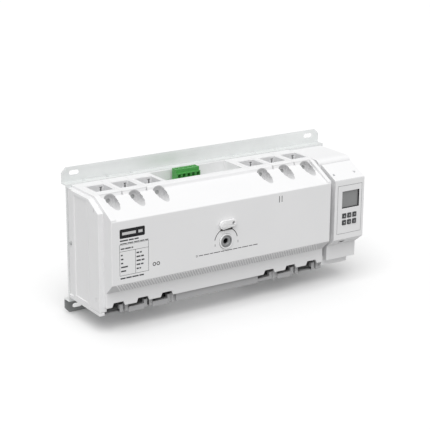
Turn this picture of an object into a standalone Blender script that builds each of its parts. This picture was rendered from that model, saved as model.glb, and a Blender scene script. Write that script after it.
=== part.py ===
# Automatic transfer switch: two three-pole banks, a shared geared drive and a controller,
# all carried by a hat-section steel plate that is screwed to a panel.
#
# Sizes are in millimetres, measured on the object itself: x from the plate's left end,
# depth from the front of the plate's fixing flanges towards the viewer, and height from
# the underside of the plate's lower leg. point() turns them into world metres, where the
# origin is on the panel, in the middle of the lower fixing flange.

import math

import bmesh
import bpy
from mathutils import Matrix, Vector

MM = 0.001
GAP = 0.3

# Mounting plate
PLATE_WIDTH = 347.0
SHEET = 1.5
FLANGE = 16.2
PLATE_HEIGHT = 134.4
STAND_OFF = 9.9
SLOT_DROP = 9.5
SLOT_LENGTH = 12.5
SLOT_HEIGHT = 5.2
SLOT_INSET = 15.4
FLANGE_CHAMFER = 5.5

# Switch body
WALL = 2.5
POLE_PITCH = 30.0
FIRST_POLES = (25.2, 221.2)
POLES = [first + POLE_PITCH * step for first in FIRST_POLES for step in range(3)]
POLE_NAMES = [bank + "_" + str(step) for bank in ("I", "II") for step in (1, 2, 3)]
BODY_LEFT = 0.3
BODY_RIGHT = 294.8
SLAB_LEFT = 6.3
COVER_RIGHT = 292.5
BODY_TOP = 133.8
SKIN_TOP = 131.0
SKIN_FALL = 0.55
BODY_BOTTOM = 5.8
SEAM = 58.0
CAP_FRONT = 61.0
SKIN_FRONT = 80.5
SKIRT_FRONT = 85.4
COVER_FRONT = 98.0
SLOPE_TOP = 130.0
FRONT_TOP = 113.8
FRONT_BOTTOM = 44.0
SKIRT_TOP = 31.8
SKIRT_BOTTOM = 14.9
LEDGE_TOP = 9.5
NOTCH_SHIFT = -4.4
NOTCH_TOP = 19.9

# Wire pockets and the way in for the screwdriver
POCKET_WIDTH = 21.0
POCKET_SHIFT = 0.9
POCKET_BACK = 26.7
POCKET_FRONT = 49.3
POCKET_DEPTH = 22.0
SCREW_HEIGHT = 125.2
WAY_FLOOR = 126.0
ACCESS_RADIUS = 7.5

LOWER_SCREW_SHIFT = -3.5
POST_SPAN = (-0.7, 9.9)
POST_TOP = 14.6
LEDGE_SET_BACK = 77.5

# Contact system and drive
AXIS_HEIGHT = 69.4
SHAFT_DEPTH = 44.0
SHAFT_SIDE = 8.0
ROTOR_RADIUS = 11.0
BLADE_REACH = 28.0
BLADE_WIDTH = 14.0
BLADE_THICK = 3.0
JAW_INNER = 19.0
TOOTH_MODULE = 1.25
PINION_TEETH = 16
SHAFT_TEETH = 32
SPUR_TEETH = 32
MOTOR_TEETH = 12
SPINDLE_X = 148.7
MOTOR_ANGLE = math.radians(240)
SELECTOR = (144.0, 89.0)

# Controller
CONTROL_LEFT = 300.5
CONTROL_REAR_LEFT = 297.0
CONTROL_RIGHT = 343.1
CONTROL_TOP = 132.5
CONTROL_STEP = 68.0
CONTROL_STEP_LOW = 127.2
CONTROL_FRONT = 95.8
CONTROL_FRONT_TOP = 113.8
CONTROL_FRONT_BOTTOM = 42.1
CONTROL_BOX_FRONT = 82.8
CONTROL_BOX_TOP = 32.6
CONTROL_BOX_BOTTOM = 14.2
KEY_COLUMNS = (314.6, 322.0, 329.5)
KEY_ROWS = (70.4, 62.3)
KEY_SIZE = 5.4
SCREEN = ((310.9, 335.7), (79.6, 100.0))

# Terminal plug
RECESS = ((100.0, 204.0), (13.5, 50.0))
RECESS_FLOOR = 112.0
PLUG = ((128.5, 159.0), (18.0, 29.5))
PLUG_TOP = 136.5
PLUG_WAYS = 5

WHITE = ((0.82, 0.82, 0.83), 0.42, 0.0)
INNER = ((0.10, 0.10, 0.11), 0.55, 0.0)
ZINC = ((0.74, 0.76, 0.76), 0.30, 0.9)
STEEL = ((0.55, 0.56, 0.58), 0.32, 1.0)
COPPER = ((0.80, 0.42, 0.26), 0.30, 1.0)
BRASS = ((0.78, 0.60, 0.28), 0.30, 1.0)
GREEN = ((0.07, 0.33, 0.07), 0.40, 0.0)
BOARD = ((0.02, 0.16, 0.07), 0.50, 0.0)
GREY = ((0.30, 0.31, 0.33), 0.45, 0.0)
DARK = ((0.03, 0.03, 0.035), 0.50, 0.0)

PARTS = "automatic_transfer_switch"
CUTTERS = "cutters"


def point(x, depth, height):
    return Vector((x - PLATE_WIDTH / 2, -(depth + SHEET), height + SLOT_DROP)) * MM


def mirrored(height):
    return 2 * AXIS_HEIGHT - height


def clear_scene():
    for existing in list(bpy.data.objects):
        bpy.data.objects.remove(existing, do_unlink=True)
    for name in (PARTS, CUTTERS):
        bpy.context.scene.collection.children.link(bpy.data.collections.new(name))


def place(name, mesh, group):
    piece = bpy.data.objects.new(name, mesh)
    bpy.data.collections[group].objects.link(piece)
    if group == CUTTERS:
        piece.hide_render = True
        piece.display_type = "WIRE"
    return piece


def finish_mesh(name, shape, group):
    mesh = bpy.data.meshes.new(name)
    shape.to_mesh(mesh)
    shape.free()
    return place(name, mesh, group)


def add_box(shape, x, depth, height):
    low = point(x[0], depth[1], height[0])
    high = point(x[1], depth[0], height[1])
    middle = Matrix.Translation((low + high) / 2)
    bmesh.ops.create_cube(shape, size=1.0, matrix=middle @ Matrix.Diagonal((*(high - low), 1.0)))


def boxes(name, spans, group=PARTS):
    shape = bmesh.new()
    for x, depth, height in spans:
        add_box(shape, x, depth, height)
    return finish_mesh(name, shape, group)


def box(name, x, depth, height, group=PARTS):
    return boxes(name, [(x, depth, height)], group)


TURNS = {
    "x": Matrix.Rotation(math.pi / 2, 4, "Y"),
    "depth": Matrix.Rotation(math.pi / 2, 4, "X"),
    "height": Matrix.Identity(4),
}


def add_rod(shape, along, centre, radius, length, sides, tip_radius=None):
    bmesh.ops.create_cone(
        shape, cap_ends=True, segments=sides, radius1=radius * MM,
        radius2=(radius if tip_radius is None else tip_radius) * MM, depth=length * MM,
        matrix=Matrix.Translation(point(*centre)) @ TURNS[along])


def rods(name, along, centres, radius, length, sides=16, group=PARTS):
    shape = bmesh.new()
    for centre in centres:
        add_rod(shape, along, centre, radius, length, sides)
    return finish_mesh(name, shape, group)


def rod(name, along, centre, radius, length, sides=24, group=PARTS):
    return rods(name, along, [centre], radius, length, sides, group)


# An outline is drawn in the plane across "along": (depth, height) for x, and (x, height)
# for depth. Extra outlines are holes in the first one.
AXES = {
    "x": Matrix(((0, 0, -1, 0), (-1, 0, 0, 0), (0, 1, 0, 0), (0, 0, 0, 1))),
    "depth": Matrix(((1, 0, 0, 0), (0, 0, -1, 0), (0, 1, 0, 0), (0, 0, 0, 1))),
}


def outline(name, along, outlines, span, group=PARTS):
    flat = bpy.data.curves.new(name, "CURVE")
    flat.dimensions = "2D"
    flat.fill_mode = "BOTH"
    flat.extrude = (span[1] - span[0]) / 2 * MM
    for corners in outlines:
        spline = flat.splines.new("POLY")
        spline.points.add(len(corners) - 1)
        spline.use_cyclic_u = True
        for place_in_curve, corner in zip(spline.points, corners):
            place_in_curve.co = (corner[0] * MM, corner[1] * MM, 0.0, 1.0)
    drawn = bpy.data.objects.new(name + "_outline", flat)
    bpy.context.scene.collection.objects.link(drawn)
    middle = sum(span) / 2
    start = point(middle, 0, 0) if along == "x" else point(0, middle, 0)
    drawn.matrix_world = Matrix.Translation(start) @ AXES[along]
    bpy.context.view_layer.update()
    evaluated = drawn.evaluated_get(bpy.context.evaluated_depsgraph_get())
    mesh = bpy.data.meshes.new_from_object(evaluated)
    shape = bmesh.new()
    shape.from_mesh(mesh)
    bmesh.ops.remove_doubles(shape, verts=shape.verts, dist=0.00001)
    bmesh.ops.recalc_face_normals(shape, faces=shape.faces)
    shape.transform(drawn.matrix_world)
    bpy.data.objects.remove(drawn, do_unlink=True)
    mesh.clear_geometry()
    shape.to_mesh(mesh)
    shape.free()
    mesh.materials.clear()
    return place(name, mesh, group)


def combine(piece, other, operation):
    step = piece.modifiers.new(operation.lower(), "BOOLEAN")
    step.operation = operation
    step.solver = "EXACT"
    step.object = other


def cut(piece, *cutters):
    for cutter in cutters:
        combine(piece, cutter, "DIFFERENCE")


def fuse(piece, *additions):
    for addition in additions:
        combine(piece, addition, "UNION")


def pivot(piece, x, depth, height):
    centre = point(x, depth, height)
    piece.data.transform(Matrix.Translation(-centre))
    piece.location = centre


def turn_about_shaft(piece, angle):
    piece.data.transform(Matrix.Rotation(angle, 4, "X"))


def paint(look, *pieces):
    colour, roughness, metallic = look
    for piece in pieces:
        material = bpy.data.materials.new(piece.name)
        material.use_nodes = True
        shader = material.node_tree.nodes["Principled BSDF"]
        shader.inputs["Base Color"].default_value = (*colour, 1.0)
        shader.inputs["Roughness"].default_value = roughness
        shader.inputs["Metallic"].default_value = metallic
        piece.data.materials.append(material)


def smooth(*pieces):
    for piece in pieces:
        piece.data.shade_smooth()
        piece.data.set_sharp_from_angle(angle=math.radians(35))


def arc(centre, radius, start, end, steps):
    turns = [start + (end - start) * step / steps for step in range(steps + 1)]
    return [(centre[0] + radius * math.cos(math.radians(turn)),
             centre[1] + radius * math.sin(math.radians(turn))) for turn in turns]


def stadium(centre, length, width, steps=5):
    reach = (length - width) / 2
    right = arc((centre[0] + reach, centre[1]), width / 2, -90, 90, steps)
    left = arc((centre[0] - reach, centre[1]), width / 2, 90, 270, steps)
    return right + left


# Straight-sided teeth with a generous backlash: one tooth lies on the "first" direction.
def gear_outline(centre, teeth, first, bore=None):
    pitch_radius = TOOTH_MODULE * teeth / 2
    root = pitch_radius - 1.15 * TOOTH_MODULE
    tip = pitch_radius + 0.8 * TOOTH_MODULE
    step = 2 * math.pi / teeth
    corners = []
    for tooth in range(teeth):
        middle = first + tooth * step
        for radius, offset in ((root, -0.27), (tip, -0.12), (tip, 0.12), (root, 0.27)):
            turn = middle + offset * step
            corners.append((centre[0] + radius * math.cos(turn), centre[1] + radius * math.sin(turn)))
    return [corners] if bore is None else [corners, bore]


def square(centre, side):
    half = side / 2
    return [(centre[0] + a * half, centre[1] + b * half) for a, b in ((-1, -1), (1, -1), (1, 1), (-1, 1))]


def build_mounting_plate():
    top = PLATE_HEIGHT
    profile = [
        (-SHEET, top + FLANGE), (0, top + FLANGE), (0, top), (STAND_OFF, top), (STAND_OFF, 0),
        (0, 0), (0, -FLANGE), (-SHEET, -FLANGE), (-SHEET, SHEET), (STAND_OFF - SHEET, SHEET),
        (STAND_OFF - SHEET, top - SHEET), (-SHEET, top - SHEET)]
    plate = outline("mounting_plate", "x", [profile], (0, PLATE_WIDTH))
    through = (-SHEET - 1, 1)
    slots = []
    corners = []
    for side in (0, 1):
        for level, edge in ((-SLOT_DROP, -FLANGE), (top + SLOT_DROP, top + FLANGE)):
            x = abs(side * PLATE_WIDTH - SLOT_INSET)
            slots.append(stadium((x, level), SLOT_LENGTH, SLOT_HEIGHT))
            inward = 1 - 2 * side
            outward = math.copysign(1, edge - level)
            end = side * PLATE_WIDTH - inward
            corners.append([
                (end, edge + outward), (end + inward * (FLANGE_CHAMFER + 2), edge + outward),
                (end, edge - outward * (FLANGE_CHAMFER + 1))])
    for number, shape in enumerate(slots + corners):
        cut(plate, outline("plate_cut_" + str(number), "depth", [shape], through, CUTTERS))
    pilot_holes = [(pole, 2.6, top - SHEET / 2) for pole in POLES]
    cut(plate, rods("pilot_holes", "height", pilot_holes, 1.7, 2 * SHEET, 12, CUTTERS))
    cut(plate, rods("plate_screw_holes", "depth", plate_screw_centres(), 2.3, 2 * SHEET, 12, CUTTERS))
    paint(ZINC, plate)


def plate_screw_centres():
    depth = STAND_OFF - SHEET / 2
    return [(x, depth, height) for x in (110.0, 198.0) for height in (22.0, 116.0)]


def pocket_spans(grow, low, high):
    half = POCKET_WIDTH / 2 + grow
    return [
        ((pole + POCKET_SHIFT - half, pole + POCKET_SHIFT + half),
         (POCKET_BACK - grow, POCKET_FRONT + grow), (low, high)) for pole in POLES]


def build_base_housing():
    back = STAND_OFF + GAP
    shell = box("base_housing", (BODY_LEFT, BODY_RIGHT), (back, SEAM), (BODY_BOTTOM, SKIN_TOP))
    slab = box("base_slab", (SLAB_LEFT, BODY_RIGHT), (back, SEAM), (SKIN_TOP - 20, BODY_TOP), CUTTERS)
    ledge = box("base_ledge", (BODY_LEFT, BODY_RIGHT), (back, SKIN_FRONT), (BODY_BOTTOM, LEDGE_TOP),
                CUTTERS)
    fuse(shell, slab, ledge)
    inside = (LEDGE_TOP + 0.6, SKIN_TOP - WALL)
    walls = [BODY_LEFT] + [x + POLE_PITCH / 2 for x in POLES[:3]]
    walls += [POLES[3] - POLE_PITCH / 2] + [x + POLE_PITCH / 2 for x in POLES[3:5]] + [BODY_RIGHT]
    rooms = []
    for number, (left, right) in enumerate(zip(walls, walls[1:])):
        start = left + (WALL if number == 0 else 1.0)
        stop = right - (WALL if number == len(walls) - 2 else 1.0)
        rooms.append(((start, stop), (back + WALL, SEAM + 1), inside))
    cut(shell, boxes("base_rooms", rooms, CUTTERS))
    for number, span in enumerate(pocket_spans(1.5, BODY_TOP - POCKET_DEPTH, BODY_TOP - 1)):
        fuse(shell, box("upper_well_" + str(number), *span, CUTTERS))
    for number, span in enumerate(pocket_spans(1.5, BODY_BOTTOM + 1, BODY_BOTTOM + POCKET_DEPTH)):
        fuse(shell, box("lower_well_" + str(number), *span, CUTTERS))
    cut(shell, boxes("upper_pockets", pocket_spans(0, BODY_TOP - POCKET_DEPTH - 1, BODY_TOP + 1), CUTTERS))
    cut(shell, boxes("lower_pockets", pocket_spans(0, 0, BODY_BOTTOM + POCKET_DEPTH + 1), CUTTERS))
    for name, height, shift in (("upper_screw_ways", SCREW_HEIGHT, 0),
                                ("lower_screw_ways", mirrored(SCREW_HEIGHT), LOWER_SCREW_SHIFT)):
        centres = [(pole + shift, POCKET_FRONT + 4, height) for pole in POLES]
        cut(shell, rods(name, "depth", centres, 5.4, 12, 16, CUTTERS))
    build_base_openings(shell)
    paint(WHITE, shell)


def build_base_openings(shell):
    clearance = ROTOR_RADIUS + 1.2
    height = (AXIS_HEIGHT - clearance, AXIS_HEIGHT + clearance)
    cut(shell, box("shaft_way", (POLES[0] + 10, POLES[-1] + 10), (SHAFT_DEPTH - clearance, SEAM + 2), height,
                   CUTTERS))
    (left, right), (rear, front) = RECESS
    well = box("recess_well", (left - 1, right + 1), (rear - 1, front + 1.5),
               (RECESS_FLOOR - 2, BODY_TOP - 1), CUTTERS)
    fuse(shell, well)
    cut(shell, box("recess", (left + 1.5, right - 1.5), (rear, front), (RECESS_FLOOR, BODY_TOP + 1),
                   CUTTERS))
    build_guide_posts(shell)
    cut(shell, rods("base_screw_holes", "depth",
                    [(x, 12, height) for x, depth, height in plate_screw_centres()], 2.2, 8, 12, CUTTERS))


# Two posts with a slot between them stand on the ledge beside each lower screw. The ledge
# is set back to the left of them, where the screwdriver passes.
def build_guide_posts(shell):
    left, right = POST_SPAN
    set_back = ((LEDGE_SET_BACK, SKIN_FRONT + 1), (BODY_BOTTOM - 1, LEDGE_TOP + 1))
    spans = [((max(pole - POLE_PITCH + right, SLAB_LEFT), pole + left), *set_back)
             for pole in POLES[:3] + POLES[4:]]
    cut(shell, boxes("ledge_set_backs", spans, CUTTERS))
    for number, pole in enumerate(POLES):
        fuse(shell, box("guide_post_" + str(number), (pole + left, pole + right), (76, SKIN_FRONT - GAP),
                        (BODY_BOTTOM + 1, POST_TOP), CUTTERS))
    middle = (left + right) / 2
    slots = [((pole + middle - 1.2, pole + middle + 1.2), (LEDGE_SET_BACK, SKIN_FRONT + 1),
              (BODY_BOTTOM - 1, POST_TOP + 1)) for pole in POLES]
    cut(shell, boxes("guide_post_slots", slots, CUTTERS))


def cover_profile(inset):
    front = COVER_FRONT - inset
    return [
        (SEAM + GAP, BODY_TOP - inset), (CAP_FRONT - inset, BODY_TOP - inset),
        (CAP_FRONT + 1.0 - inset, SLOPE_TOP - inset), (front, FRONT_TOP - inset / 2),
        (front, FRONT_BOTTOM + inset / 2), (SKIRT_FRONT - inset, SKIRT_TOP),
        (SKIRT_FRONT - inset, SKIRT_BOTTOM), (SEAM + GAP, SKIRT_BOTTOM)]


# The skin beside the cover: its top falls a little faster than the cover's slope.
def skin_profile(front, inset):
    rear = SEAM + GAP + 0.2 - inset
    crest = CAP_FRONT - 1.5
    edge = SKIN_TOP - SKIN_FALL * (front - crest)
    return [
        (rear, SKIN_TOP - inset), (crest, SKIN_TOP - inset), (front - inset, edge - inset),
        (front - inset, LEDGE_TOP + GAP - inset), (rear, LEDGE_TOP + GAP - inset)]


def build_front_cover():
    cover = outline("front_cover", "x", [cover_profile(0)], (SLAB_LEFT, COVER_RIGHT))
    left_skin = outline("left_skin", "x", [skin_profile(SKIN_FRONT, 0)], (BODY_LEFT, SLAB_LEFT + 3), CUTTERS)
    right_skin = outline("right_skin", "x", [skin_profile(CONTROL_STEP, 0)], (COVER_RIGHT - 3, BODY_RIGHT),
                         CUTTERS)
    fuse(cover, left_skin, right_skin)
    hollow = cover_profile(WALL)
    hollow[0] = (SEAM - 1, hollow[0][1])
    hollow[-2] = (hollow[-2][0], LEDGE_TOP - 1)
    hollow[-1] = (SEAM - 1, LEDGE_TOP - 1)
    skin_hollow = outline("left_skin_hollow", "x", [skin_profile(SKIN_FRONT, WALL)],
                          (BODY_LEFT + WALL, SLAB_LEFT + 1), CUTTERS)
    cut(cover, outline("cover_hollow", "x", [hollow], (SLAB_LEFT + WALL, COVER_RIGHT - WALL), CUTTERS),
        skin_hollow)
    ways = [(pole, 80, SCREW_HEIGHT) for pole in POLES]
    sleeves = rods("access_sleeves", "depth", [(x, CAP_FRONT + 15.1, z) for x, y, z in ways],
                   ACCESS_RADIUS + 1.2, 34, 20, CUTTERS)
    lid = outline("sleeve_lid", "x", [cover_profile(WALL / 3)], (SLAB_LEFT + 1, COVER_RIGHT - 1), CUTTERS)
    combine(sleeves, lid, "INTERSECT")
    fuse(cover, sleeves)
    cut(cover, rods("access_holes", "depth", ways, ACCESS_RADIUS, 50, 20, CUTTERS))
    barrier_slots = [((pole + POLE_PITCH / 2 - 1, pole + POLE_PITCH / 2 + 1), (SEAM, CAP_FRONT + 8),
                      (SLOPE_TOP - 0.4, BODY_TOP + 1)) for pole in POLES[:2] + POLES[3:5]]
    cut(cover, boxes("barrier_slots", barrier_slots, CUTTERS))
    for number, pole in enumerate(POLES):
        cut(cover, outline("skirt_notch_" + str(number), "depth", [skirt_notch(pole)],
                           (SKIN_FRONT - 3, SKIRT_FRONT + 2), CUTTERS))
    cut(cover, rod("socket_hole", "depth", (SPINDLE_X, COVER_FRONT, AXIS_HEIGHT), 9.0, 10, 24, CUTTERS),
        rod("selector_hole", "depth", (SELECTOR[0], COVER_FRONT, SELECTOR[1]), 3.6, 10, 16, CUTTERS),
        box("selector_slot", (141.5, 157.5), (90, 100), (81.5, 85.5), CUTTERS))
    paint(WHITE, cover)


def skirt_notch(pole):
    middle = pole + NOTCH_SHIFT
    foot = SKIRT_BOTTOM - 2
    return [(middle - 9, foot), (middle + 9, foot), (middle + 6, NOTCH_TOP), (middle - 6, NOTCH_TOP)]


def build_controller():
    rear = box("controller_base", (CONTROL_REAR_LEFT, CONTROL_RIGHT), (STAND_OFF + GAP, CONTROL_STEP - GAP),
               (BODY_BOTTOM, CONTROL_TOP))
    foot = box("controller_foot", (CONTROL_REAR_LEFT + 1, 335.8), (40, 76),
               (BODY_BOTTOM + 0.4, CONTROL_BOX_BOTTOM + 4), CUTTERS)
    lower = box("controller_box", (CONTROL_LEFT, CONTROL_RIGHT - 0.4), (50, CONTROL_BOX_FRONT),
                (CONTROL_BOX_BOTTOM, CONTROL_BOX_TOP - GAP), CUTTERS)
    fuse(rear, foot, lower)
    cut(rear, box("controller_room", (CONTROL_REAR_LEFT + WALL, CONTROL_RIGHT - WALL),
                  (STAND_OFF + GAP + WALL, CONTROL_STEP + 1),
                  (CONTROL_BOX_TOP + 3, CONTROL_STEP_LOW - WALL), CUTTERS))
    paint(WHITE, rear)
    build_controller_cover()
    build_controller_inside()


def controller_profile(inset):
    return [
        (CONTROL_STEP, CONTROL_STEP_LOW - inset), (CONTROL_STEP + 1, CONTROL_STEP_LOW - inset),
        (CONTROL_FRONT - inset, CONTROL_FRONT_TOP - inset / 2),
        (CONTROL_FRONT - inset, CONTROL_FRONT_BOTTOM + inset / 2),
        (CONTROL_BOX_FRONT + 1, CONTROL_BOX_TOP + inset), (CONTROL_STEP, CONTROL_BOX_TOP + inset)]


def build_controller_cover():
    cover = outline("controller_cover", "x", [controller_profile(0)], (CONTROL_LEFT, CONTROL_RIGHT))
    hollow = controller_profile(WALL)
    hollow[0] = (CONTROL_STEP - 1, hollow[0][1])
    hollow[-1] = (CONTROL_STEP - 1, hollow[-1][1])
    cut(cover, outline("controller_hollow", "x", [hollow],
                       (CONTROL_LEFT + WALL, CONTROL_RIGHT - WALL), CUTTERS))
    (left, right), (low, high) = SCREEN
    cut(cover, box("screen_hole", (left, right), (90, 100), (low, high), CUTTERS))
    half = KEY_SIZE / 2 + GAP
    keyholes = [((x - half, x + half), (90, 100), (z - half, z + half))
                for x in KEY_COLUMNS for z in KEY_ROWS]
    cut(cover, boxes("key_holes", keyholes, CUTTERS))
    cut(cover, rods("cover_screw_holes", "height",
                    [(x, 86.0, 119.0) for x in controller_screw_columns()], 1.5, 12, 12, CUTTERS))
    paint(WHITE, cover)


def controller_screw_columns():
    return (CONTROL_LEFT + 4.6, CONTROL_RIGHT - 8.5)


def build_controller_inside():
    (left, right), (low, high) = SCREEN
    back = CONTROL_FRONT - WALL
    window = box("screen_window", (left + GAP, right - GAP), (back, back + 1.0), (low + GAP, high - GAP))
    paint(DARK, window)
    module = box("screen_module", (left - 1.5, right + 1.5), (back - 5.0, back - GAP), (low - 2, high + 2))
    paint(STEEL, module)
    board = box("controller_board", (CONTROL_LEFT + 4, CONTROL_RIGHT - 4), (84.5, 86.1), (47.0, 108.0))
    paint(BOARD, board)
    places = [(x, height) for height in KEY_ROWS for x in KEY_COLUMNS]
    for number, (x, height) in enumerate(places, start=1):
        build_key("key_" + str(number), x, height)
    for side, x in zip(("left", "right"), controller_screw_columns()):
        screw = rod("controller_screw_" + side, "height", (x, 86.0, 116.5), 1.2, 5, 12)
        paint(STEEL, screw)
        smooth(screw)


def build_key(name, x, height):
    half = KEY_SIZE / 2
    back = CONTROL_FRONT - WALL
    key = box(name, (x - half, x + half), (back - 1.5, CONTROL_FRONT + 0.8), (height - half, height + half))
    brim = box(name + "_brim", (x - half - 0.6, x + half + 0.6), (back - 2.6, back - 1.2),
               (height - half - 0.6, height + half + 0.6), CUTTERS)
    fuse(key, brim)
    paint(GREY, key)


def build_plug():
    (left, right), (rear, front) = PLUG
    header = box("plug_header", (left - 1, right + 1), (rear + 1.5, front - 1.5),
                 (RECESS_FLOOR + GAP, RECESS_FLOOR + 9))
    paint(GREEN, header)
    plug = box("terminal_plug", (left, right), (rear, front), (RECESS_FLOOR + 9 + GAP, PLUG_TOP))
    cut(plug, box("plug_step", (left - 1, right + 1), (front - 2.5, front + 3),
                  (RECESS_FLOOR + 20.5, PLUG_TOP + 1), CUTTERS))
    pitch = (right - left) / PLUG_WAYS
    centres = [left + pitch * (way + 0.5) for way in range(PLUG_WAYS)]
    wire_holes = [((x - 1.9, x + 1.9), (front - 4, front + 1), (RECESS_FLOOR + 14, RECESS_FLOOR + 19))
                  for x in centres]
    screw_holes = [(x, rear + 4.5, PLUG_TOP) for x in centres]
    cut(plug, boxes("plug_wire_holes", wire_holes, CUTTERS),
        rods("plug_screw_holes", "height", screw_holes, 2.1, 8, 12, CUTTERS))
    paint(GREEN, plug)
    board = box("header_board", (left - 12, right + 30), (16, 47), (RECESS_FLOOR - 6, RECESS_FLOOR - 4.4))
    paint(BOARD, board)


def terminal_profile(level):
    back = POCKET_BACK + 1.2
    thick = 3.0
    inner = AXIS_HEIGHT + JAW_INNER
    bend = BODY_TOP - POCKET_DEPTH - 8
    corners = [
        (back, WAY_FLOOR), (back + thick, WAY_FLOOR), (back + thick, bend),
        (SHAFT_DEPTH + 5, bend), (SHAFT_DEPTH + 5, inner), (SHAFT_DEPTH - 5, inner),
        (SHAFT_DEPTH - 5, bend - thick), (back, bend - thick)]
    return corners if level == "upper" else [(depth, mirrored(height)) for depth, height in corners]


def build_terminals():
    for level in ("upper", "lower"):
        jaw = (AXIS_HEIGHT + JAW_INNER - 1, AXIS_HEIGHT + BLADE_REACH + 1)
        if level == "lower":
            jaw = (mirrored(jaw[1]), mirrored(jaw[0]))
        for name, pole in zip(POLE_NAMES, POLES):
            bar = outline(level + "_terminal_" + name, "x", [terminal_profile(level)],
                          (pole - 6.5, pole + 6.5))
            slot = BLADE_THICK / 2 + 0.5
            cut(bar, box(level + "_jaw_" + name, (pole - slot, pole + slot),
                         (SHAFT_DEPTH - 7, SHAFT_DEPTH + 7), jaw, CUTTERS))
            paint(COPPER, bar)


# The clamp's screw is threaded into its frame, and both are one solid. The frame stands
# taller at the front, around the screw.
def build_clamps():
    half = 6.0
    back = POCKET_BACK + GAP
    front = POCKET_FRONT - 1.0
    frame_front = front - 3.0
    screw = (frame_front - 8.0, front + 4.0)
    height = (SCREW_HEIGHT - half, SCREW_HEIGHT + half)
    for name, pole in zip(POLE_NAMES, POLES):
        clamp = box("wire_clamp_" + name, (pole - 8.8, pole + 8.8), (back, front), height)
        cut(clamp, box("clamp_way_" + name, (pole - 7.2, pole + 7.2), (back + 0.6, frame_front),
                       (height[0] - 1, height[1] + 1), CUTTERS),
            box("clamp_step_" + name, (pole - 9.8, pole + 9.8), (back - 1, frame_front - 1.5),
                (WAY_FLOOR - GAP, height[1] + 1), CUTTERS))
        fuse(clamp, rod("clamp_screw_" + name, "depth", (pole, sum(screw) / 2, SCREW_HEIGHT), 3.0,
                        screw[1] - screw[0], 12, CUTTERS))
        cut(clamp, rod("clamp_socket_" + name, "depth", (pole, screw[1], SCREW_HEIGHT), 1.6, 5, 6, CUTTERS))
        paint(STEEL, clamp)


def build_contact_shaft():
    start = POLES[0] - 12
    stop = POLES[-1] + 10
    half = SHAFT_SIDE / 2
    shaft = box("contact_shaft", (start, stop), (SHAFT_DEPTH - half, SHAFT_DEPTH + half),
                (AXIS_HEIGHT - half, AXIS_HEIGHT + half))
    paint(STEEL, shaft)
    pivot(shaft, (start + stop) / 2, SHAFT_DEPTH, AXIS_HEIGHT)
    for bank, poles, lean in (("I", POLES[:3], math.radians(45)), ("II", POLES[3:], math.radians(-45))):
        build_rotor(bank, poles, lean)
    bore = square((SHAFT_DEPTH, AXIS_HEIGHT), SHAFT_SIDE + 2 * GAP)
    rack_middle = SPINDLE_X + TOOTH_MODULE * PINION_TEETH / 2 + 4.6
    gear = outline("shaft_gear", "x", gear_outline((SHAFT_DEPTH, AXIS_HEIGHT), SHAFT_TEETH, 0, bore),
                   (rack_middle - 2.6, rack_middle + 2.6))
    paint(BRASS, gear)
    pivot(gear, rack_middle, SHAFT_DEPTH, AXIS_HEIGHT)


def build_rotor(bank, poles, lean):
    middle = poles[1]
    start = poles[0] - 10
    stop = poles[2] + 9
    rotor = rod("rotor_" + bank, "x", ((start + stop) / 2, SHAFT_DEPTH, AXIS_HEIGHT), ROTOR_RADIUS,
                stop - start, 24)
    half = SHAFT_SIDE / 2 + GAP
    bore = box("rotor_bore_" + bank, (start - 1, stop + 1), (SHAFT_DEPTH - half, SHAFT_DEPTH + half),
               (AXIS_HEIGHT - half, AXIS_HEIGHT + half), CUTTERS)
    cut(rotor, bore)
    width = BLADE_WIDTH / 2 + GAP
    side = BLADE_THICK / 2 + GAP
    for number, pole in enumerate(poles):
        slot = box("blade_slot_" + bank + str(number), (pole - side, pole + side),
                   (SHAFT_DEPTH - width, SHAFT_DEPTH + width), (AXIS_HEIGHT - 20, AXIS_HEIGHT + 20), CUTTERS)
        pivot(slot, pole, SHAFT_DEPTH, AXIS_HEIGHT)
        turn_about_shaft(slot, lean)
        cut(rotor, slot)
        build_blade("blade_" + bank + "_" + str(number + 1), pole, lean)
    pivot(rotor, middle, SHAFT_DEPTH, AXIS_HEIGHT)
    paint(INNER, rotor)
    smooth(rotor)


def build_blade(name, pole, lean):
    centre = (SHAFT_DEPTH, AXIS_HEIGHT)
    half = BLADE_WIDTH / 2
    reach = BLADE_REACH - half
    upper = arc((centre[0], centre[1] + reach), half, 0, 180, 6)
    lower = arc((centre[0], centre[1] - reach), half, 180, 360, 6)
    blade = outline(name, "x", [upper + lower], (pole - BLADE_THICK / 2, pole + BLADE_THICK / 2))
    pivot(blade, pole, SHAFT_DEPTH, AXIS_HEIGHT)
    turn_about_shaft(blade, lean)
    bore_half = SHAFT_SIDE / 2 + GAP
    bore = box(name + "_bore", (pole - 5, pole + 5), (centre[0] - bore_half, centre[0] + bore_half),
               (centre[1] - bore_half, centre[1] + bore_half), CUTTERS)
    cut(blade, bore)
    paint(COPPER, blade)


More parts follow.
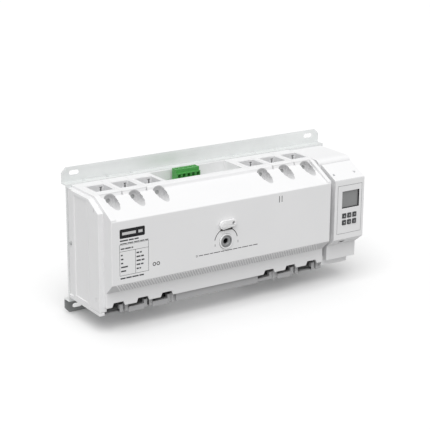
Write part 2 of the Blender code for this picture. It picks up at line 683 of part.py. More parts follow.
def build_drive():
    pinion_radius = TOOTH_MODULE * PINION_TEETH / 2
    pitch_plane = SHAFT_DEPTH + TOOTH_MODULE * SHAFT_TEETH / 2
    rack_depth = (pitch_plane + 1.5, pitch_plane + 8.0)
    centre = (SPINDLE_X, AXIS_HEIGHT)
    bore = square(centre, 6.0 + 2 * GAP)
    pinion = outline("spindle_pinion", "depth", gear_outline(centre, PINION_TEETH, 0, bore), rack_depth)
    spur_depth = (rack_depth[1] + 3.0, rack_depth[1] + 8.0)
    spur = outline("spindle_gear", "depth", gear_outline(centre, SPUR_TEETH, MOTOR_ANGLE, bore), spur_depth)
    distance = TOOTH_MODULE * (SPUR_TEETH + MOTOR_TEETH) / 2
    motor_centre = (SPINDLE_X + distance * math.cos(MOTOR_ANGLE),
                    AXIS_HEIGHT + distance * math.sin(MOTOR_ANGLE))
    gap_phase = MOTOR_ANGLE + math.pi + math.pi / MOTOR_TEETH
    motor_bore = arc(motor_centre, 1.5 + GAP, 0, 324, 9)
    motor_pinion = outline("motor_pinion", "depth",
                           gear_outline(motor_centre, MOTOR_TEETH, gap_phase, motor_bore), spur_depth)
    for piece in (pinion, spur):
        pivot(piece, SPINDLE_X, spur_depth[0], AXIS_HEIGHT)
    pivot(motor_pinion, motor_centre[0], spur_depth[0], motor_centre[1])
    paint(BRASS, pinion, spur, motor_pinion)
    build_spindle(rack_depth[0])
    build_rack(pinion_radius, pitch_plane, rack_depth)
    build_motor(motor_centre, rack_depth[1], spur_depth)


def build_spindle(rear):
    front = COVER_FRONT - 2.0
    body = rod("drive_spindle", "depth", (SPINDLE_X, (front + 84) / 2, AXIS_HEIGHT), 5.8, front - 84, 20)
    shank = box("spindle_shank", (SPINDLE_X - 3, SPINDLE_X + 3), (rear - 4, 86),
                (AXIS_HEIGHT - 3, AXIS_HEIGHT + 3), CUTTERS)
    fuse(body, shank)
    cut(body, box("spindle_socket", (SPINDLE_X - 3.2, SPINDLE_X + 3.2), (front - 9, front + 1),
                  (AXIS_HEIGHT - 3.2, AXIS_HEIGHT + 3.2), CUTTERS))
    pivot(body, SPINDLE_X, front, AXIS_HEIGHT)
    paint(DARK, body)
    smooth(body)
    bezel = rod("socket_bezel", "depth", (SPINDLE_X, COVER_FRONT - 0.6, AXIS_HEIGHT), 8.6, 4.0, 28)
    cut(bezel, rod("bezel_hole", "depth", (SPINDLE_X, COVER_FRONT, AXIS_HEIGHT), 6.2, 10, 24, CUTTERS))
    paint(GREY, bezel)
    smooth(bezel)


def rack_teeth(face, direction, middle):
    pitch = math.pi * TOOTH_MODULE
    count = 7
    corners = []
    for tooth in range(-count, count):
        centre = middle + (tooth + 0.5) * pitch
        for reach, offset in ((-1.15, -0.27), (0.8, -0.12), (0.8, 0.12), (-1.15, 0.27)):
            corners.append((face + direction * reach * TOOTH_MODULE, centre + offset * pitch))
    return corners


def build_rack(pinion_radius, pitch_plane, rack_depth):
    face = SPINDLE_X + pinion_radius
    reach = 30.0
    spine = 6.2
    low, high = AXIS_HEIGHT - reach, AXIS_HEIGHT + reach
    side_outline = [(face + 1.5, low)] + rack_teeth(face, -1, AXIS_HEIGHT)
    side_outline += [(face + 1.5, high), (face + 1.5 + spine, high), (face + 1.5 + spine, low)]
    rack = outline("transfer_rack", "depth", [side_outline], rack_depth)
    rear_outline = [(pitch_plane + 1.5, low)] + rack_teeth(pitch_plane, -1, AXIS_HEIGHT)
    rear_outline += [(pitch_plane + 1.5, high), (pitch_plane + 4, high), (pitch_plane + 4, low)]
    rear_teeth = outline("rack_rear_teeth", "x", [rear_outline], (face + 2.0, face + 1.5 + spine), CUTTERS)
    fuse(rack, rear_teeth)
    paint(GREY, rack)
    left = face + 1.5 + spine + GAP
    guide = box("rack_guide", (left, left + 4), (rack_depth[0] - 1, rack_depth[1] + 1.5),
                (AXIS_HEIGHT - 34, AXIS_HEIGHT + 34))
    lips = boxes("guide_lips", [((face + 3.5, left + 1), (rack_depth[1] + GAP, rack_depth[1] + 1.5),
                                 (AXIS_HEIGHT - 34, AXIS_HEIGHT + 34))], CUTTERS)
    fuse(guide, lips)
    paint(STEEL, guide)


def build_motor(motor_centre, rear_depth, spur_depth):
    x, height = motor_centre
    plate_depth = (rear_depth + 0.4, rear_depth + 2.0)
    motor = rod("drive_motor", "depth", (x, 46.0, height), 13.5, 52.0, 28)
    output = rod("motor_output", "depth", (x, 76.0, height), 1.5, 12.0, 12, CUTTERS)
    fuse(motor, output)
    paint(STEEL, motor)
    smooth(motor)
    plate = box("gear_plate", (112, 160), plate_depth, (28, 98))
    screws = [(x + side * 9, 74, height) for side in (-1, 1)]
    cut(plate, rod("spindle_clearance", "depth", (SPINDLE_X, 74, AXIS_HEIGHT), 4.8, 10, 20, CUTTERS),
        rod("motor_clearance", "depth", (x, 74, height), 2.2, 10, 16, CUTTERS),
        rods("motor_screw_holes", "depth", screws, 1.5, 10, 10, CUTTERS))
    paint(ZINC, plate)


def build_selector():
    lever = outline("selector_lever", "depth", [selector_outline()], (COVER_FRONT + GAP, COVER_FRONT + 3.4))
    hub = rod("selector_hub", "depth", (SELECTOR[0], COVER_FRONT, SELECTOR[1]), 3.2, 8.0, 16, CUTTERS)
    fuse(lever, hub)
    cut(lever, rod("padlock_eye", "depth", (156.5, COVER_FRONT, 90.0), 1.8, 12, 12, CUTTERS))
    pivot(lever, SELECTOR[0], COVER_FRONT, SELECTOR[1])
    paint(WHITE, lever)


def selector_outline():
    hub = arc(SELECTOR, 5.0, 80, 280, 8)
    tab = arc((157.0, 90.0), 4.2, -80, 80, 7)
    return hub + tab


def build_bearings():
    for side, x in (("left", POLES[2] + POLE_PITCH / 2 + 4), ("right", POLES[3] - POLE_PITCH / 2 - 4)):
        block = box("shaft_bearing_" + side, (x - 2.5, x + 2.5), (SHAFT_DEPTH - 14, SHAFT_DEPTH + 14),
                    (AXIS_HEIGHT - 15, AXIS_HEIGHT + 15))
        cut(block, rod("bearing_bore_" + side, "x", (x, SHAFT_DEPTH, AXIS_HEIGHT), 6.2, 10, 24, CUTTERS))
        paint(GREY, block)


clear_scene()
build_mounting_plate()
build_base_housing()
build_front_cover()
build_controller()
build_plug()
build_terminals()
build_clamps()
build_contact_shaft()
build_drive()
build_selector()
build_bearings()
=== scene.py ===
import math

import bmesh
import bpy
from mathutils import Matrix, Vector


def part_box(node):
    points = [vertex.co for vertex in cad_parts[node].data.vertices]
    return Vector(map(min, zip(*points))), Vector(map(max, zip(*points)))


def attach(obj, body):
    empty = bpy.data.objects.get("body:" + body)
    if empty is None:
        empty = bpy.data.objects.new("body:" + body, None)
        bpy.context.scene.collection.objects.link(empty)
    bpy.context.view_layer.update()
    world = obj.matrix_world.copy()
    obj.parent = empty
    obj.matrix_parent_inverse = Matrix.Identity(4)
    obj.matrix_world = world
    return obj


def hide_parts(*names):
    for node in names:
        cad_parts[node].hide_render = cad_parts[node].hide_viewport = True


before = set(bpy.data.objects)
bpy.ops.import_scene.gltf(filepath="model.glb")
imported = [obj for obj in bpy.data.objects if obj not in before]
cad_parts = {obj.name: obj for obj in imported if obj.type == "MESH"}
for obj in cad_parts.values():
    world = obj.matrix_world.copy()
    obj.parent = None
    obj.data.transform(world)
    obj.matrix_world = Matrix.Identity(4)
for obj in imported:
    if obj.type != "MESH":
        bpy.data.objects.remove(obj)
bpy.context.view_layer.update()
print("frame loaded")

# The switch is laid out in millimetres: x from the plate's left end, depth from the front of the
# fixing flanges towards the viewer, height from the underside of the plate's lower leg.
mm = 0.001
sheet = 1.5
flange = 16.2
plateLow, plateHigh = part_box("mounting_plate")
bankNames = ["I_1", "I_2", "I_3", "II_1", "II_2", "II_3"]


def at(x, depth, height):
    return Vector((plateLow.x + x * mm, plateHigh.y - (depth + sheet) * mm,
            plateLow.z + (height + flange) * mm))


# The span of a node along x, depth and height, in the switch's own millimetres.
def reach(node):
    low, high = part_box(node)
    x = ((low.x - plateLow.x) / mm, (high.x - plateLow.x) / mm)
    depth = ((plateHigh.y - high.y) / mm - sheet, (plateHigh.y - low.y) / mm - sheet)
    height = ((low.z - plateLow.z) / mm - flange, (high.z - plateLow.z) / mm - flange)
    return x, depth, height


def middle(span):
    return (span[0] + span[1]) / 2


poles = [middle(reach("upper_terminal_" + name)[0]) for name in bankNames]
coverX, coverDepth, coverHeight = reach("front_cover")
baseX, baseDepth = reach("base_housing")[:2]
frontFace = coverDepth[1]
topFace = coverHeight[1]
axisX = middle(reach("socket_bezel")[0])
axisHeight = middle(reach("socket_bezel")[2])
wayHeight = middle(reach("wire_clamp_I_1")[2])


# Shader maths is written as expressions on wires.
class Wire:
    def __init__(self, recipe, socket):
        self.recipe = recipe
        self.socket = socket

    def __add__(self, other):
        return self.recipe.maths("ADD", self, other)

    def __radd__(self, other):
        return self.recipe.maths("ADD", other, self)

    def __sub__(self, other):
        return self.recipe.maths("SUBTRACT", self, other)

    def __rsub__(self, other):
        return self.recipe.maths("SUBTRACT", other, self)

    def __mul__(self, other):
        return self.recipe.maths("MULTIPLY", self, other)

    def __rmul__(self, other):
        return self.recipe.maths("MULTIPLY", other, self)

    def __lt__(self, other):
        return self.recipe.maths("LESS_THAN", self, other)


class Recipe:
    def __init__(self, name):
        self.material = bpy.data.materials.new(name)
        self.material.use_nodes = True
        self.tree = self.material.node_tree
        self.shader = self.tree.nodes["Principled BSDF"]

    def node(self, kind, settings, inputs, output=0):
        made = self.tree.nodes.new("ShaderNode" + kind)
        for key, value in settings.items():
            if key == "stops":
                for element, (position, tone) in zip(made.color_ramp.elements, value):
                    element.position = position
                    element.color = (tone, tone, tone, 1.0)
            else:
                setattr(made, key, value)
        for key, value in inputs.items():
            self.feed(made.inputs[key], value)
        return Wire(self, made.outputs[output])

    def feed(self, socket, value):
        if isinstance(value, Wire):
            self.tree.links.new(value.socket, socket)
        elif socket.type == "RGBA":
            socket.default_value = (*value, 1.0)
        else:
            socket.default_value = value

    def maths(self, operation, first, second):
        return self.node("Math", {"operation": operation}, {0: first, 1: second})

    def place(self, stretch=(1.0, 1.0, 1.0)):
        spot = self.node("TexCoord", {}, {}, output="Object")
        return self.node("Mapping", {}, {"Vector": spot, "Scale": stretch})

    def noise(self, size, detail=3.0, stretch=(1.0, 1.0, 1.0), rough=0.55):
        return self.node("TexNoise", {}, {"Vector": self.place(stretch), "Scale": 1.0 / (size * mm),
                "Detail": detail, "Roughness": rough})

    def band(self, value, low, high):
        return self.node("ValToRGB", {"stops": [(low, 0.0), (high, 1.0)]}, {"Fac": value})

    def mix(self, amount, first, second):
        return self.node("Mix", {"data_type": "RGBA"}, {0: amount, 6: first, 7: second}, output=2)

    def bump(self, height, strength, distance):
        normal = self.node("Bump", {}, {"Height": height, "Strength": strength, "Distance": distance * mm})
        self.feed(self.shader.inputs["Normal"], normal)

    def fix(self, **values):
        for key, value in values.items():
            self.feed(self.shader.inputs[key.replace("_", " ")], value)
        return self


scuffMarks = {"size": 5.0, "detail": 5.0, "stretch": (1.0, 0.25, 2.0), "rough": 0.7}
scuffBand = (0.66, 0.74)
mouldedSheen = {"slow": 0.10, "grain": 0.12, "scuffs": 0.08}


# Moulded plastic: a fine spark-eroded grain, slow changes of tone and a few faint scuffs.
def mouldedFinish(name, look):
    recipe = Recipe(name)
    slow = recipe.noise(look["drift"], 2.0)
    grain = recipe.noise(look["grain"], 4.0)
    scuffs = recipe.band(recipe.noise(**scuffMarks), *scuffBand)
    sheen = (look["roughness"] + mouldedSheen["slow"] * (slow - 0.5)
            + mouldedSheen["grain"] * (grain - 0.5) + mouldedSheen["scuffs"] * scuffs)
    tone = recipe.mix(slow, look["light"], look["dark"])
    recipe.fix(Base_Color=recipe.mix(scuffs * look["scuff"], tone, look["worn"]), Roughness=sheen)
    recipe.bump(grain + 0.4 * scuffs, look["depth"], 0.06)
    recipe.shader.inputs["Coat Roughness"].default_value = 0.3
    recipe.shader.inputs["Coat Weight"].default_value = look.get("coat", 0.0)
    return recipe.material


# Worn spots move part of the way from the light tone towards the tone of wear.
wearShare = 0.35


def tones(light, shade, wear=0.5):
    dark = tuple(part * shade for part in light)
    worn = tuple(part + (wear - part) * wearShare for part in light)
    return {"light": light, "dark": dark, "worn": worn}


whiteLook = {**tones((0.84, 0.84, 0.845), 0.965, 0.9), "drift": 60.0, "grain": 0.45, "scuff": 0.35,
    "roughness": 0.46, "depth": 0.22}
# edgeHighlightLook is a lighter, smoother white: a painted highlight for bevels and the grip ribs.
edgeHighlightLook = {**whiteLook, **tones((0.86, 0.86, 0.865), 0.98, 0.95), "roughness": 0.34, "depth": 0.08}
# shadeLook is a darker white used as painted shade: under the skirt and in the controller's panel groove.
shadeLook = {**whiteLook, **tones((0.44, 0.44, 0.445), 0.93, 0.6)}
# chamferAndWayShadeLook is a darker white used as painted shade on the chamfer and in the screwdriver ways.
chamferAndWayShadeLook = {**whiteLook, **tones((0.66, 0.66, 0.665), 0.95, 0.75)}
greenLook = {**tones((0.068, 0.37, 0.070), 0.80), "drift": 9.0, "grain": 0.35, "scuff": 0.5,
    "roughness": 0.38, "depth": 0.25, "coat": 0.15}
greyLook = {**tones((0.34, 0.345, 0.35), 0.85), "drift": 8.0, "grain": 0.3, "scuff": 0.5,
    "roughness": 0.42, "depth": 0.3}
keyLook = {**tones((0.045, 0.048, 0.052), 0.75), "drift": 4.0, "grain": 0.25, "scuff": 0.4,
    "roughness": 0.55, "depth": 0.3}
# darkAndScreenShadeLook serves the dark mouldings and also paints shade on the walls around the screen.
darkAndScreenShadeLook = {**tones((0.030, 0.030, 0.034), 0.7, 0.2), "drift": 12.0, "grain": 0.4, "scuff": 0.4,
    "roughness": 0.5, "depth": 0.3}
boardLook = {**tones((0.018, 0.15, 0.06), 0.7, 0.3), "drift": 6.0, "grain": 0.8, "scuff": 0.2,
    "roughness": 0.35, "depth": 0.15, "coat": 0.4}
iconLook = {**tones((0.50, 0.51, 0.51), 0.92, 0.7), "drift": 3.0, "grain": 0.2, "scuff": 0.3,
    "roughness": 0.5, "depth": 0.1}


dullSpots = {"size": 2.2, "detail": 2.0}
spotBand = (0.68, 0.76)
metalSheen = {"marks": 0.16, "cloud": 0.10, "spots": 0.10}
spotCover = 0.35
paintedShadeCover = 0.9


# Metal: rolling or turning marks, cloudy plating and small dull spots; below a height the tone can be
# darkened by painted shade.
def metalFinish(name, look):
    recipe = Recipe(name)
    marks = recipe.noise(look["mark"], 5.0, look["along"], 0.65)
    cloud = recipe.noise(look["cloud"], 3.0)
    spots = recipe.band(recipe.noise(**dullSpots), *spotBand)
    sheen = (look["roughness"] + metalSheen["marks"] * (marks - 0.5)
            + metalSheen["cloud"] * (cloud - 0.5) + metalSheen["spots"] * spots)
    tone = recipe.mix(cloud, look["light"], look["dark"])
    # Painted shade: below the given object height the tone is mixed towards a dark grey.
    if "paintedLowShade" in look:
        rise = recipe.node("SeparateXYZ", {}, {0: recipe.place()}, output=2)
        tone = recipe.mix((look["paintedShadeTop"] > rise) * paintedShadeCover, tone, look["paintedLowShade"])
    recipe.fix(Base_Color=recipe.mix(spots * spotCover, tone, look["spot"]), Roughness=sheen)
    recipe.bump(marks, look["depth"], 0.05)
    recipe.shader.inputs["Metallic"].default_value = look["metallic"]
    return recipe.material


# The plate's dark tone below its lower height is painted shade on the lower ear.
plateLook = {"light": (0.86, 0.875, 0.87), "dark": (0.76, 0.78, 0.775), "spot": (0.68, 0.69, 0.68),
    "mark": 1.0, "along": (0.02, 1.0, 1.0), "cloud": 38.0, "roughness": 0.38, "depth": 0.12,
    "metallic": 0.35, "paintedLowShade": (0.20, 0.205, 0.205), "paintedShadeTop": 0.0092}
# plateEdgeHighlightLook is a lighter, smoother copy of the sheet: a painted highlight on the plate's
# bevels.
plateEdgeHighlightLook = {**plateLook, "light": (0.88, 0.89, 0.885), "roughness": 0.26}
steelLook = {"light": (0.62, 0.63, 0.64), "dark": (0.45, 0.46, 0.48), "spot": (0.35, 0.35, 0.36),
    "mark": 0.5, "along": (1.0, 0.1, 1.0), "cloud": 6.0, "roughness": 0.32, "depth": 0.2,
    "metallic": 1.0}
copperLook = {**steelLook, "light": (0.83, 0.44, 0.28), "dark": (0.60, 0.30, 0.19),
    "spot": (0.34, 0.17, 0.11), "roughness": 0.30}
brassLook = {**steelLook, "light": (0.80, 0.62, 0.30), "dark": (0.62, 0.46, 0.20),
    "spot": (0.36, 0.27, 0.13), "roughness": 0.30}


# Ink: flat prints with an uneven cover.
def inkFinish(name, light, dark, roughness):
    recipe = Recipe(name)
    cover = recipe.noise(0.6, 4.0)
    recipe.fix(Base_Color=recipe.mix(cover, light, dark), Roughness=roughness + 0.15 * (cover - 0.5))
    recipe.bump(cover, 0.05, 0.02)
    recipe.shader.inputs["Specular IOR Level"].default_value = 0.2
    return recipe.material


# The display: a fine grid of cells under glass.
def displayFinish(name, look):
    recipe = Recipe(name)
    cells = recipe.node("TexVoronoi", {"feature": "DISTANCE_TO_EDGE"},
            {"Vector": recipe.place(), "Scale": 1.0 / (look["cell"] * mm), "Randomness": 0.0})
    lines = recipe.band(cells, 0.02, 0.08)
    cloud = recipe.noise(look["cloud"], 2.0)
    tone = recipe.mix(cloud, look["light"], look["dark"])
    recipe.fix(Base_Color=recipe.mix(look["gapShare"] * (1 - lines), tone, look["gap"]),
            Roughness=look["roughness"] + 0.06 * (cloud - 0.5))
    recipe.bump(cloud, 0.02, 0.02)
    recipe.shader.inputs["Coat Weight"].default_value = 0.3
    return recipe.material


displayLook = {"light": (0.27, 0.275, 0.275), "dark": (0.235, 0.24, 0.24), "gap": (0.12, 0.12, 0.12),
    "gapShare": 0.12, "cell": 0.4, "cloud": 14.0, "roughness": 0.32}


floorLook = {"light": (0.93, 0.93, 0.93), "dark": (0.90, 0.90, 0.90), "cloud": 260.0, "grain": 1.5,
    "roughness": 0.8}


def floorFinish(name, look):
    recipe = Recipe(name)
    cloud = recipe.noise(look["cloud"], 3.0)
    recipe.fix(Base_Color=recipe.mix(cloud, look["light"], look["dark"]),
            Roughness=look["roughness"] + 0.1 * cloud)
    recipe.bump(recipe.noise(look["grain"], 3.0), 0.05, 0.1)
    return recipe.material


white = mouldedFinish("whiteHousing", whiteLook)
whiteEdgeHighlight = mouldedFinish("whiteHousingEdgeHighlight", edgeHighlightLook)
shade = mouldedFinish("paintedShadeInHollows", shadeLook)
chamferAndWayShade = mouldedFinish("paintedShadeChamferAndWays", chamferAndWayShadeLook)
green = mouldedFinish("greenTerminalBlock", greenLook)
grey = mouldedFinish("greyMoulding", greyLook)
keyDark = mouldedFinish("keyRubber", keyLook)
dark = mouldedFinish("darkMouldingAndScreenShade", darkAndScreenShadeLook)
board = mouldedFinish("circuitBoard", boardLook)
icon = mouldedFinish("keyIcon", iconLook)
plated = metalFinish("platedSheet", plateLook)
platedEdgeHighlight = metalFinish("platedSheetEdgeHighlight", plateEdgeHighlightLook)
steel = metalFinish("brightSteel", steelLook)
copper = metalFinish("bareCopper", copperLook)
brass = metalFinish("cutBrass", brassLook)
blackInk = inkFinish("blackInk", (0.008, 0.008, 0.009), (0.018, 0.018, 0.020), 0.6)
paleInk = inkFinish("paleInk", (0.66, 0.66, 0.66), (0.56, 0.56, 0.56), 0.6)
greyInk = inkFinish("greyInk", (0.045, 0.045, 0.048), (0.085, 0.085, 0.09), 0.6)
display = displayFinish("displayGlass", displayLook)
print("finishes made")


# Building blocks: x, depth and height are spans in the switch's own millimetres.
def addBlock(shape, x, depth, height):
    low = at(x[0], depth[1], height[0])
    high = at(x[1], depth[0], height[1])
    size = Matrix.Diagonal((*(high - low), 1.0))
    bmesh.ops.create_cube(shape, size=1.0, matrix=Matrix.Translation((low + high) / 2) @ size)


turns = {"x": Matrix.Rotation(math.pi / 2, 4, "Y"), "depth": Matrix.Rotation(math.pi / 2, 4, "X"),
    "height": Matrix.Identity(4)}
ways = {"x": Vector((1, 0, 0)), "depth": Vector((0, -1, 0)), "height": Vector((0, 0, 1))}


def addRod(shape, along, centre, radius, length, sides=32):
    bmesh.ops.create_cone(
        shape, cap_ends=True, segments=sides, radius1=radius * mm, radius2=radius * mm,
        depth=length * mm, matrix=Matrix.Translation(at(*centre)) @ turns[along])


# A flat outline grown along one direction over span. Its corners are (depth, height) for x,
# (x, height) for depth and (x, depth) for height.
def addOutline(shape, along, corners, span):
    if along == "x":
        spots = [at(span[0], depth, height) for depth, height in corners]
    elif along == "depth":
        spots = [at(x, span[0], height) for x, height in corners]
    else:
        spots = [at(x, depth, span[0]) for x, depth in corners]
    face = shape.faces.new([shape.verts.new(spot) for spot in spots])
    grown = bmesh.ops.extrude_face_region(shape, geom=[face])["geom"]
    moved = [part for part in grown if isinstance(part, bmesh.types.BMVert)]
    bmesh.ops.translate(shape, verts=moved, vec=ways[along] * (span[1] - span[0]) * mm)


# A rectangular tube standing on its lowest height, made by insetting a face and growing the ring.
def addTube(shape, x, depth, height, wall):
    corners = [at(x[0], depth[0], height[0]), at(x[1], depth[0], height[0]),
            at(x[1], depth[1], height[0]), at(x[0], depth[1], height[0])]
    face = shape.faces.new([shape.verts.new(corner) for corner in corners])
    ring = bmesh.ops.inset_region(shape, faces=[face], thickness=wall * mm, use_boundary=True,
            use_even_offset=True)["faces"]
    bmesh.ops.delete(shape, geom=[face], context="FACES_ONLY")
    grown = bmesh.ops.extrude_face_region(shape, geom=ring)["geom"]
    moved = [part for part in grown if isinstance(part, bmesh.types.BMVert)]
    bmesh.ops.translate(shape, verts=moved, vec=ways["height"] * (height[1] - height[0]) * mm)


# A turned part: (radius, offset) points spun about the line through centre in the given direction.
# A section that starts on the axis stays open there; any other is closed into a ring.
def addTurned(shape, along, centre, profile, steps=36, angle=2 * math.pi, start=0.0):
    axis = ways[along]
    outward = Vector((1, 0, 0)) if along != "x" else Vector((0, 0, 1))
    outward = Matrix.Rotation(start, 3, axis) @ outward
    spots = [at(*centre) + outward * radius * mm + axis * offset * mm for radius, offset in profile]
    verts = [shape.verts.new(spot) for spot in spots]
    following = verts[1:] + verts[:1] if profile[0][0] > 0 else verts[1:]
    edges = [shape.edges.new(pair) for pair in zip(verts, following)]
    full = abs(angle - 2 * math.pi) < 0.001
    if not full:
        edges = [shape.faces.new(verts)]
    bmesh.ops.spin(shape, geom=verts + edges, cent=at(*centre), axis=axis, dvec=(0, 0, 0),
            angle=angle, steps=steps, use_merge=full, use_duplicate=False)


# The section of a flat ring, to be turned.
def ringSection(inner, outer, tall):
    return ((inner, 0.0), (outer, 0.0), (outer, tall), (inner, tall))


def copyOf(node):
    shape = bmesh.new()
    shape.from_mesh(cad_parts[node].data)
    bmesh.ops.remove_doubles(shape, verts=shape.verts, dist=0.005 * mm)
    return shape


# Normals are turned outwards unless the mesh brings its own.
def makePiece(name, shape, finishes, body="switch", stands=(), turned=True):
    bmesh.ops.remove_doubles(shape, verts=shape.verts, dist=0.001 * mm)
    if turned:
        bmesh.ops.recalc_face_normals(shape, faces=shape.faces)
    mesh = bpy.data.meshes.new(name)
    shape.to_mesh(mesh)
    shape.free()
    piece = bpy.data.objects.new(name, mesh)
    bpy.context.scene.collection.objects.link(piece)
    for finish in finishes:
        mesh.materials.append(finish)
    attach(piece, body)
    if stands:
        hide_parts(*stands)
    return piece


def copyPiece(name, node, finishes, body="switch"):
    return makePiece(name, copyOf(node), finishes, body, [node], turned=False)


def turnedPiece(name, along, centre, section, steps, finish, body="switch", stands=()):
    shape = bmesh.new()
    addTurned(shape, along, centre, section, steps=steps)
    sharpen(makePiece(name, shape, [finish], body, stands))


# One Boolean step, applied at once; the cutter is thrown away.
def carveWith(piece, cutter, operation="DIFFERENCE"):
    step = piece.modifiers.new("carve", "BOOLEAN")
    step.operation = operation
    step.solver = "EXACT"
    step.object = cutter
    bpy.context.view_layer.update()
    done = bpy.data.meshes.new_from_object(piece.evaluated_get(bpy.context.evaluated_depsgraph_get()))
    piece.modifiers.clear()
    piece.data = done
    bpy.data.objects.remove(cutter, do_unlink=True)


# A solid that is only used to cut or to add, and never shown.
def looseSolid(shape):
    bmesh.ops.recalc_face_normals(shape, faces=shape.faces)
    mesh = bpy.data.meshes.new("cutter")
    shape.to_mesh(mesh)
    shape.free()
    solid = bpy.data.objects.new("cutter", mesh)
    bpy.context.scene.collection.objects.link(solid)
    return solid


def carve(piece, shape, operation="DIFFERENCE"):
    carveWith(piece, looseSolid(shape), operation)


def addBlocks(shape, spans):
    for x, depth, height in spans:
        addBlock(shape, x, depth, height)
    return shape


def carveBlocks(piece, spans, operation="DIFFERENCE"):
    carve(piece, addBlocks(bmesh.new(), spans), operation)


# A solid grown along x from an outline, its edges rounded while it is still plain.
def roundedPrism(corners, span, radius):
    shape = bmesh.new()
    addOutline(shape, "x", corners, span)
    bmesh.ops.recalc_face_normals(shape, faces=shape.faces)
    bmesh.ops.bevel(shape, geom=list(shape.edges), offset=radius * mm, offset_type="OFFSET",
            segments=3, profile=0.5, affect="EDGES", clamp_overlap=True, material=-1)
    return shape


def flattenFaces(piece, keepSharp):
    flat = piece.modifiers.new("flatFaces", "WEIGHTED_NORMAL")
    flat.weight = 100
    flat.keep_sharp = keepSharp


def sharpen(piece, angle=35):
    piece.data.shade_smooth()
    piece.data.set_sharp_from_angle(angle=math.radians(angle))


def settle(piece):
    sharpen(piece, 40)
    flattenFaces(piece, True)


# Bevelled faces can take a second finish from edgeHighlightSlot, which paints a highlight along the edges.
def roundEdges(piece, width, segments=3, limit=28, edgeHighlightSlot=0):
    piece.data.shade_smooth()
    bevel = piece.modifiers.new("roundedEdges", "BEVEL")
    bevel.width = width * mm
    bevel.segments = segments
    bevel.limit_method = "ANGLE"
    bevel.angle_limit = math.radians(limit)
    bevel.miter_outer = "MITER_ARC"
    bevel.use_clamp_overlap = False
    bevel.material = edgeHighlightSlot
    flattenFaces(piece, False)


# The mounting plate.
plateMake = {"round": 0.35, "segments": 2, "limit": 28}
plate = copyPiece("mountingPlate", "mounting_plate", [plated, platedEdgeHighlight])
# The plate's bevels take the second finish, a painted highlight.
roundEdges(plate, plateMake["round"], plateMake["segments"], plateMake["limit"], 1)

# The rear housing: a hollow shell with twelve wire pockets, a recess for the plug and a ledge.
wall = 2.5
pocket = {"shift": 0.9, "half": 10.5, "rear": 26.7, "front": 49.3, "deep": 22.0, "wall": 1.5,
    "lip": 1.3, "lipHeight": 0.35, "lipWall": 0.5}
rear = {"low": 5.8, "skinTop": 131.0, "slab": 6.3, "seam": 58.0, "ledge": (80.5, 9.5), "round": 0.6,
    "lap": 4.0,
    "recess": ((101.5, 202.5), (13.5, 50.0), 112.0), "roomGap": 0.6, "shaded": 8.0,
    "step": (94.0, 203.0), "stepDepth": (74.0, 82.4), "stepSpans": ((1.0, 10.6), (0.0, 3.0))}
recessWall = {"side": 2.5, "back": 2.0, "front": 1.5, "floor": 2.0}
# A T-shaped slot in the rear wall of each wire way: (across from the pole, height).
waySlots = (((6.3, 10.0), (129.9, 131.4)), ((7.4, 9.2), (124.0, 130.0)))
waySlotDepth = (24.0, 28.0)
posts = {"span": (-0.7, 9.9), "pitch": 30.0, "rear": 76.0, "top": 14.6, "setBack": 77.5, "slot": 1.2}
sidePanel = {"band": (10.6, 20.6), "bandHeight": (9.7, 131.6), "bandSink": 1.6,
    "panel": (27.0, 57.0), "panelHeight": (13.0, 127.5), "panelSink": 1.0, "panelLean": 6.0,
    "screw": (15.6, 70.0)}
# Fine grooves across the top: (pole number, offset, half width, sink).
topGrooves = ((0, 15.0, 0.2, 0.5), (1, 15.0, 0.2, 0.5), (3, 15.0, 0.2, 0.5), (4, 15.0, 0.2, 0.5),
    (2, 14.8, 0.15, 0.4), (3, -14.6, 0.15, 0.4))


def pocketSpans(grow, low, high):
    half = pocket["half"] + grow
    return [((pole + pocket["shift"] - half, pole + pocket["shift"] + half),
            (pocket["rear"] - grow, pocket["front"] + grow), (low, high)) for pole in poles]


def buildRear():
    near, seam, low = baseDepth[0], rear["seam"], rear["low"]
    ledgeEdge, ledgeTop = rear["ledge"]
    outline = [(near, low), (ledgeEdge, low), (ledgeEdge, ledgeTop), (seam, ledgeTop), (seam, topFace),
            (near, topFace)]
    shape = roundedPrism(outline, (rear["slab"], baseX[1]), rear["round"])
    piece = makePiece("rearHousing", shape, [white], stands=["base_housing"])
    skin = [(depth, min(height, rear["skinTop"])) for depth, height in outline]
    carve(piece, roundedPrism(skin, (baseX[0], rear["slab"] + rear["lap"]), rear["round"]), "UNION")
    hollowRear(piece)
    for across, height in waySlots:
        spans = [((pole + across[0], pole + across[1]), waySlotDepth, height) for pole in poles]
        carveBlocks(piece, spans)
    for bottom, top in rear["stepSpans"]:
        carveBlocks(piece, [(rear["step"], rear["stepDepth"], (low + bottom, low + top))], "UNION")
    buildPosts(piece)
    buildSide(piece)
    # Painted shade: the ledge, posts and faces set back under the skirt take the darker finish.
    piece.data.materials.append(shade)
    shadedStart = at(rear["slab"] + 0.5, seam + rear["shaded"], 0)
    for face in piece.data.polygons:
        if face.center.y < shadedStart.y and face.center.x > shadedStart.x:
            face.material_index = 1
    settle(piece)


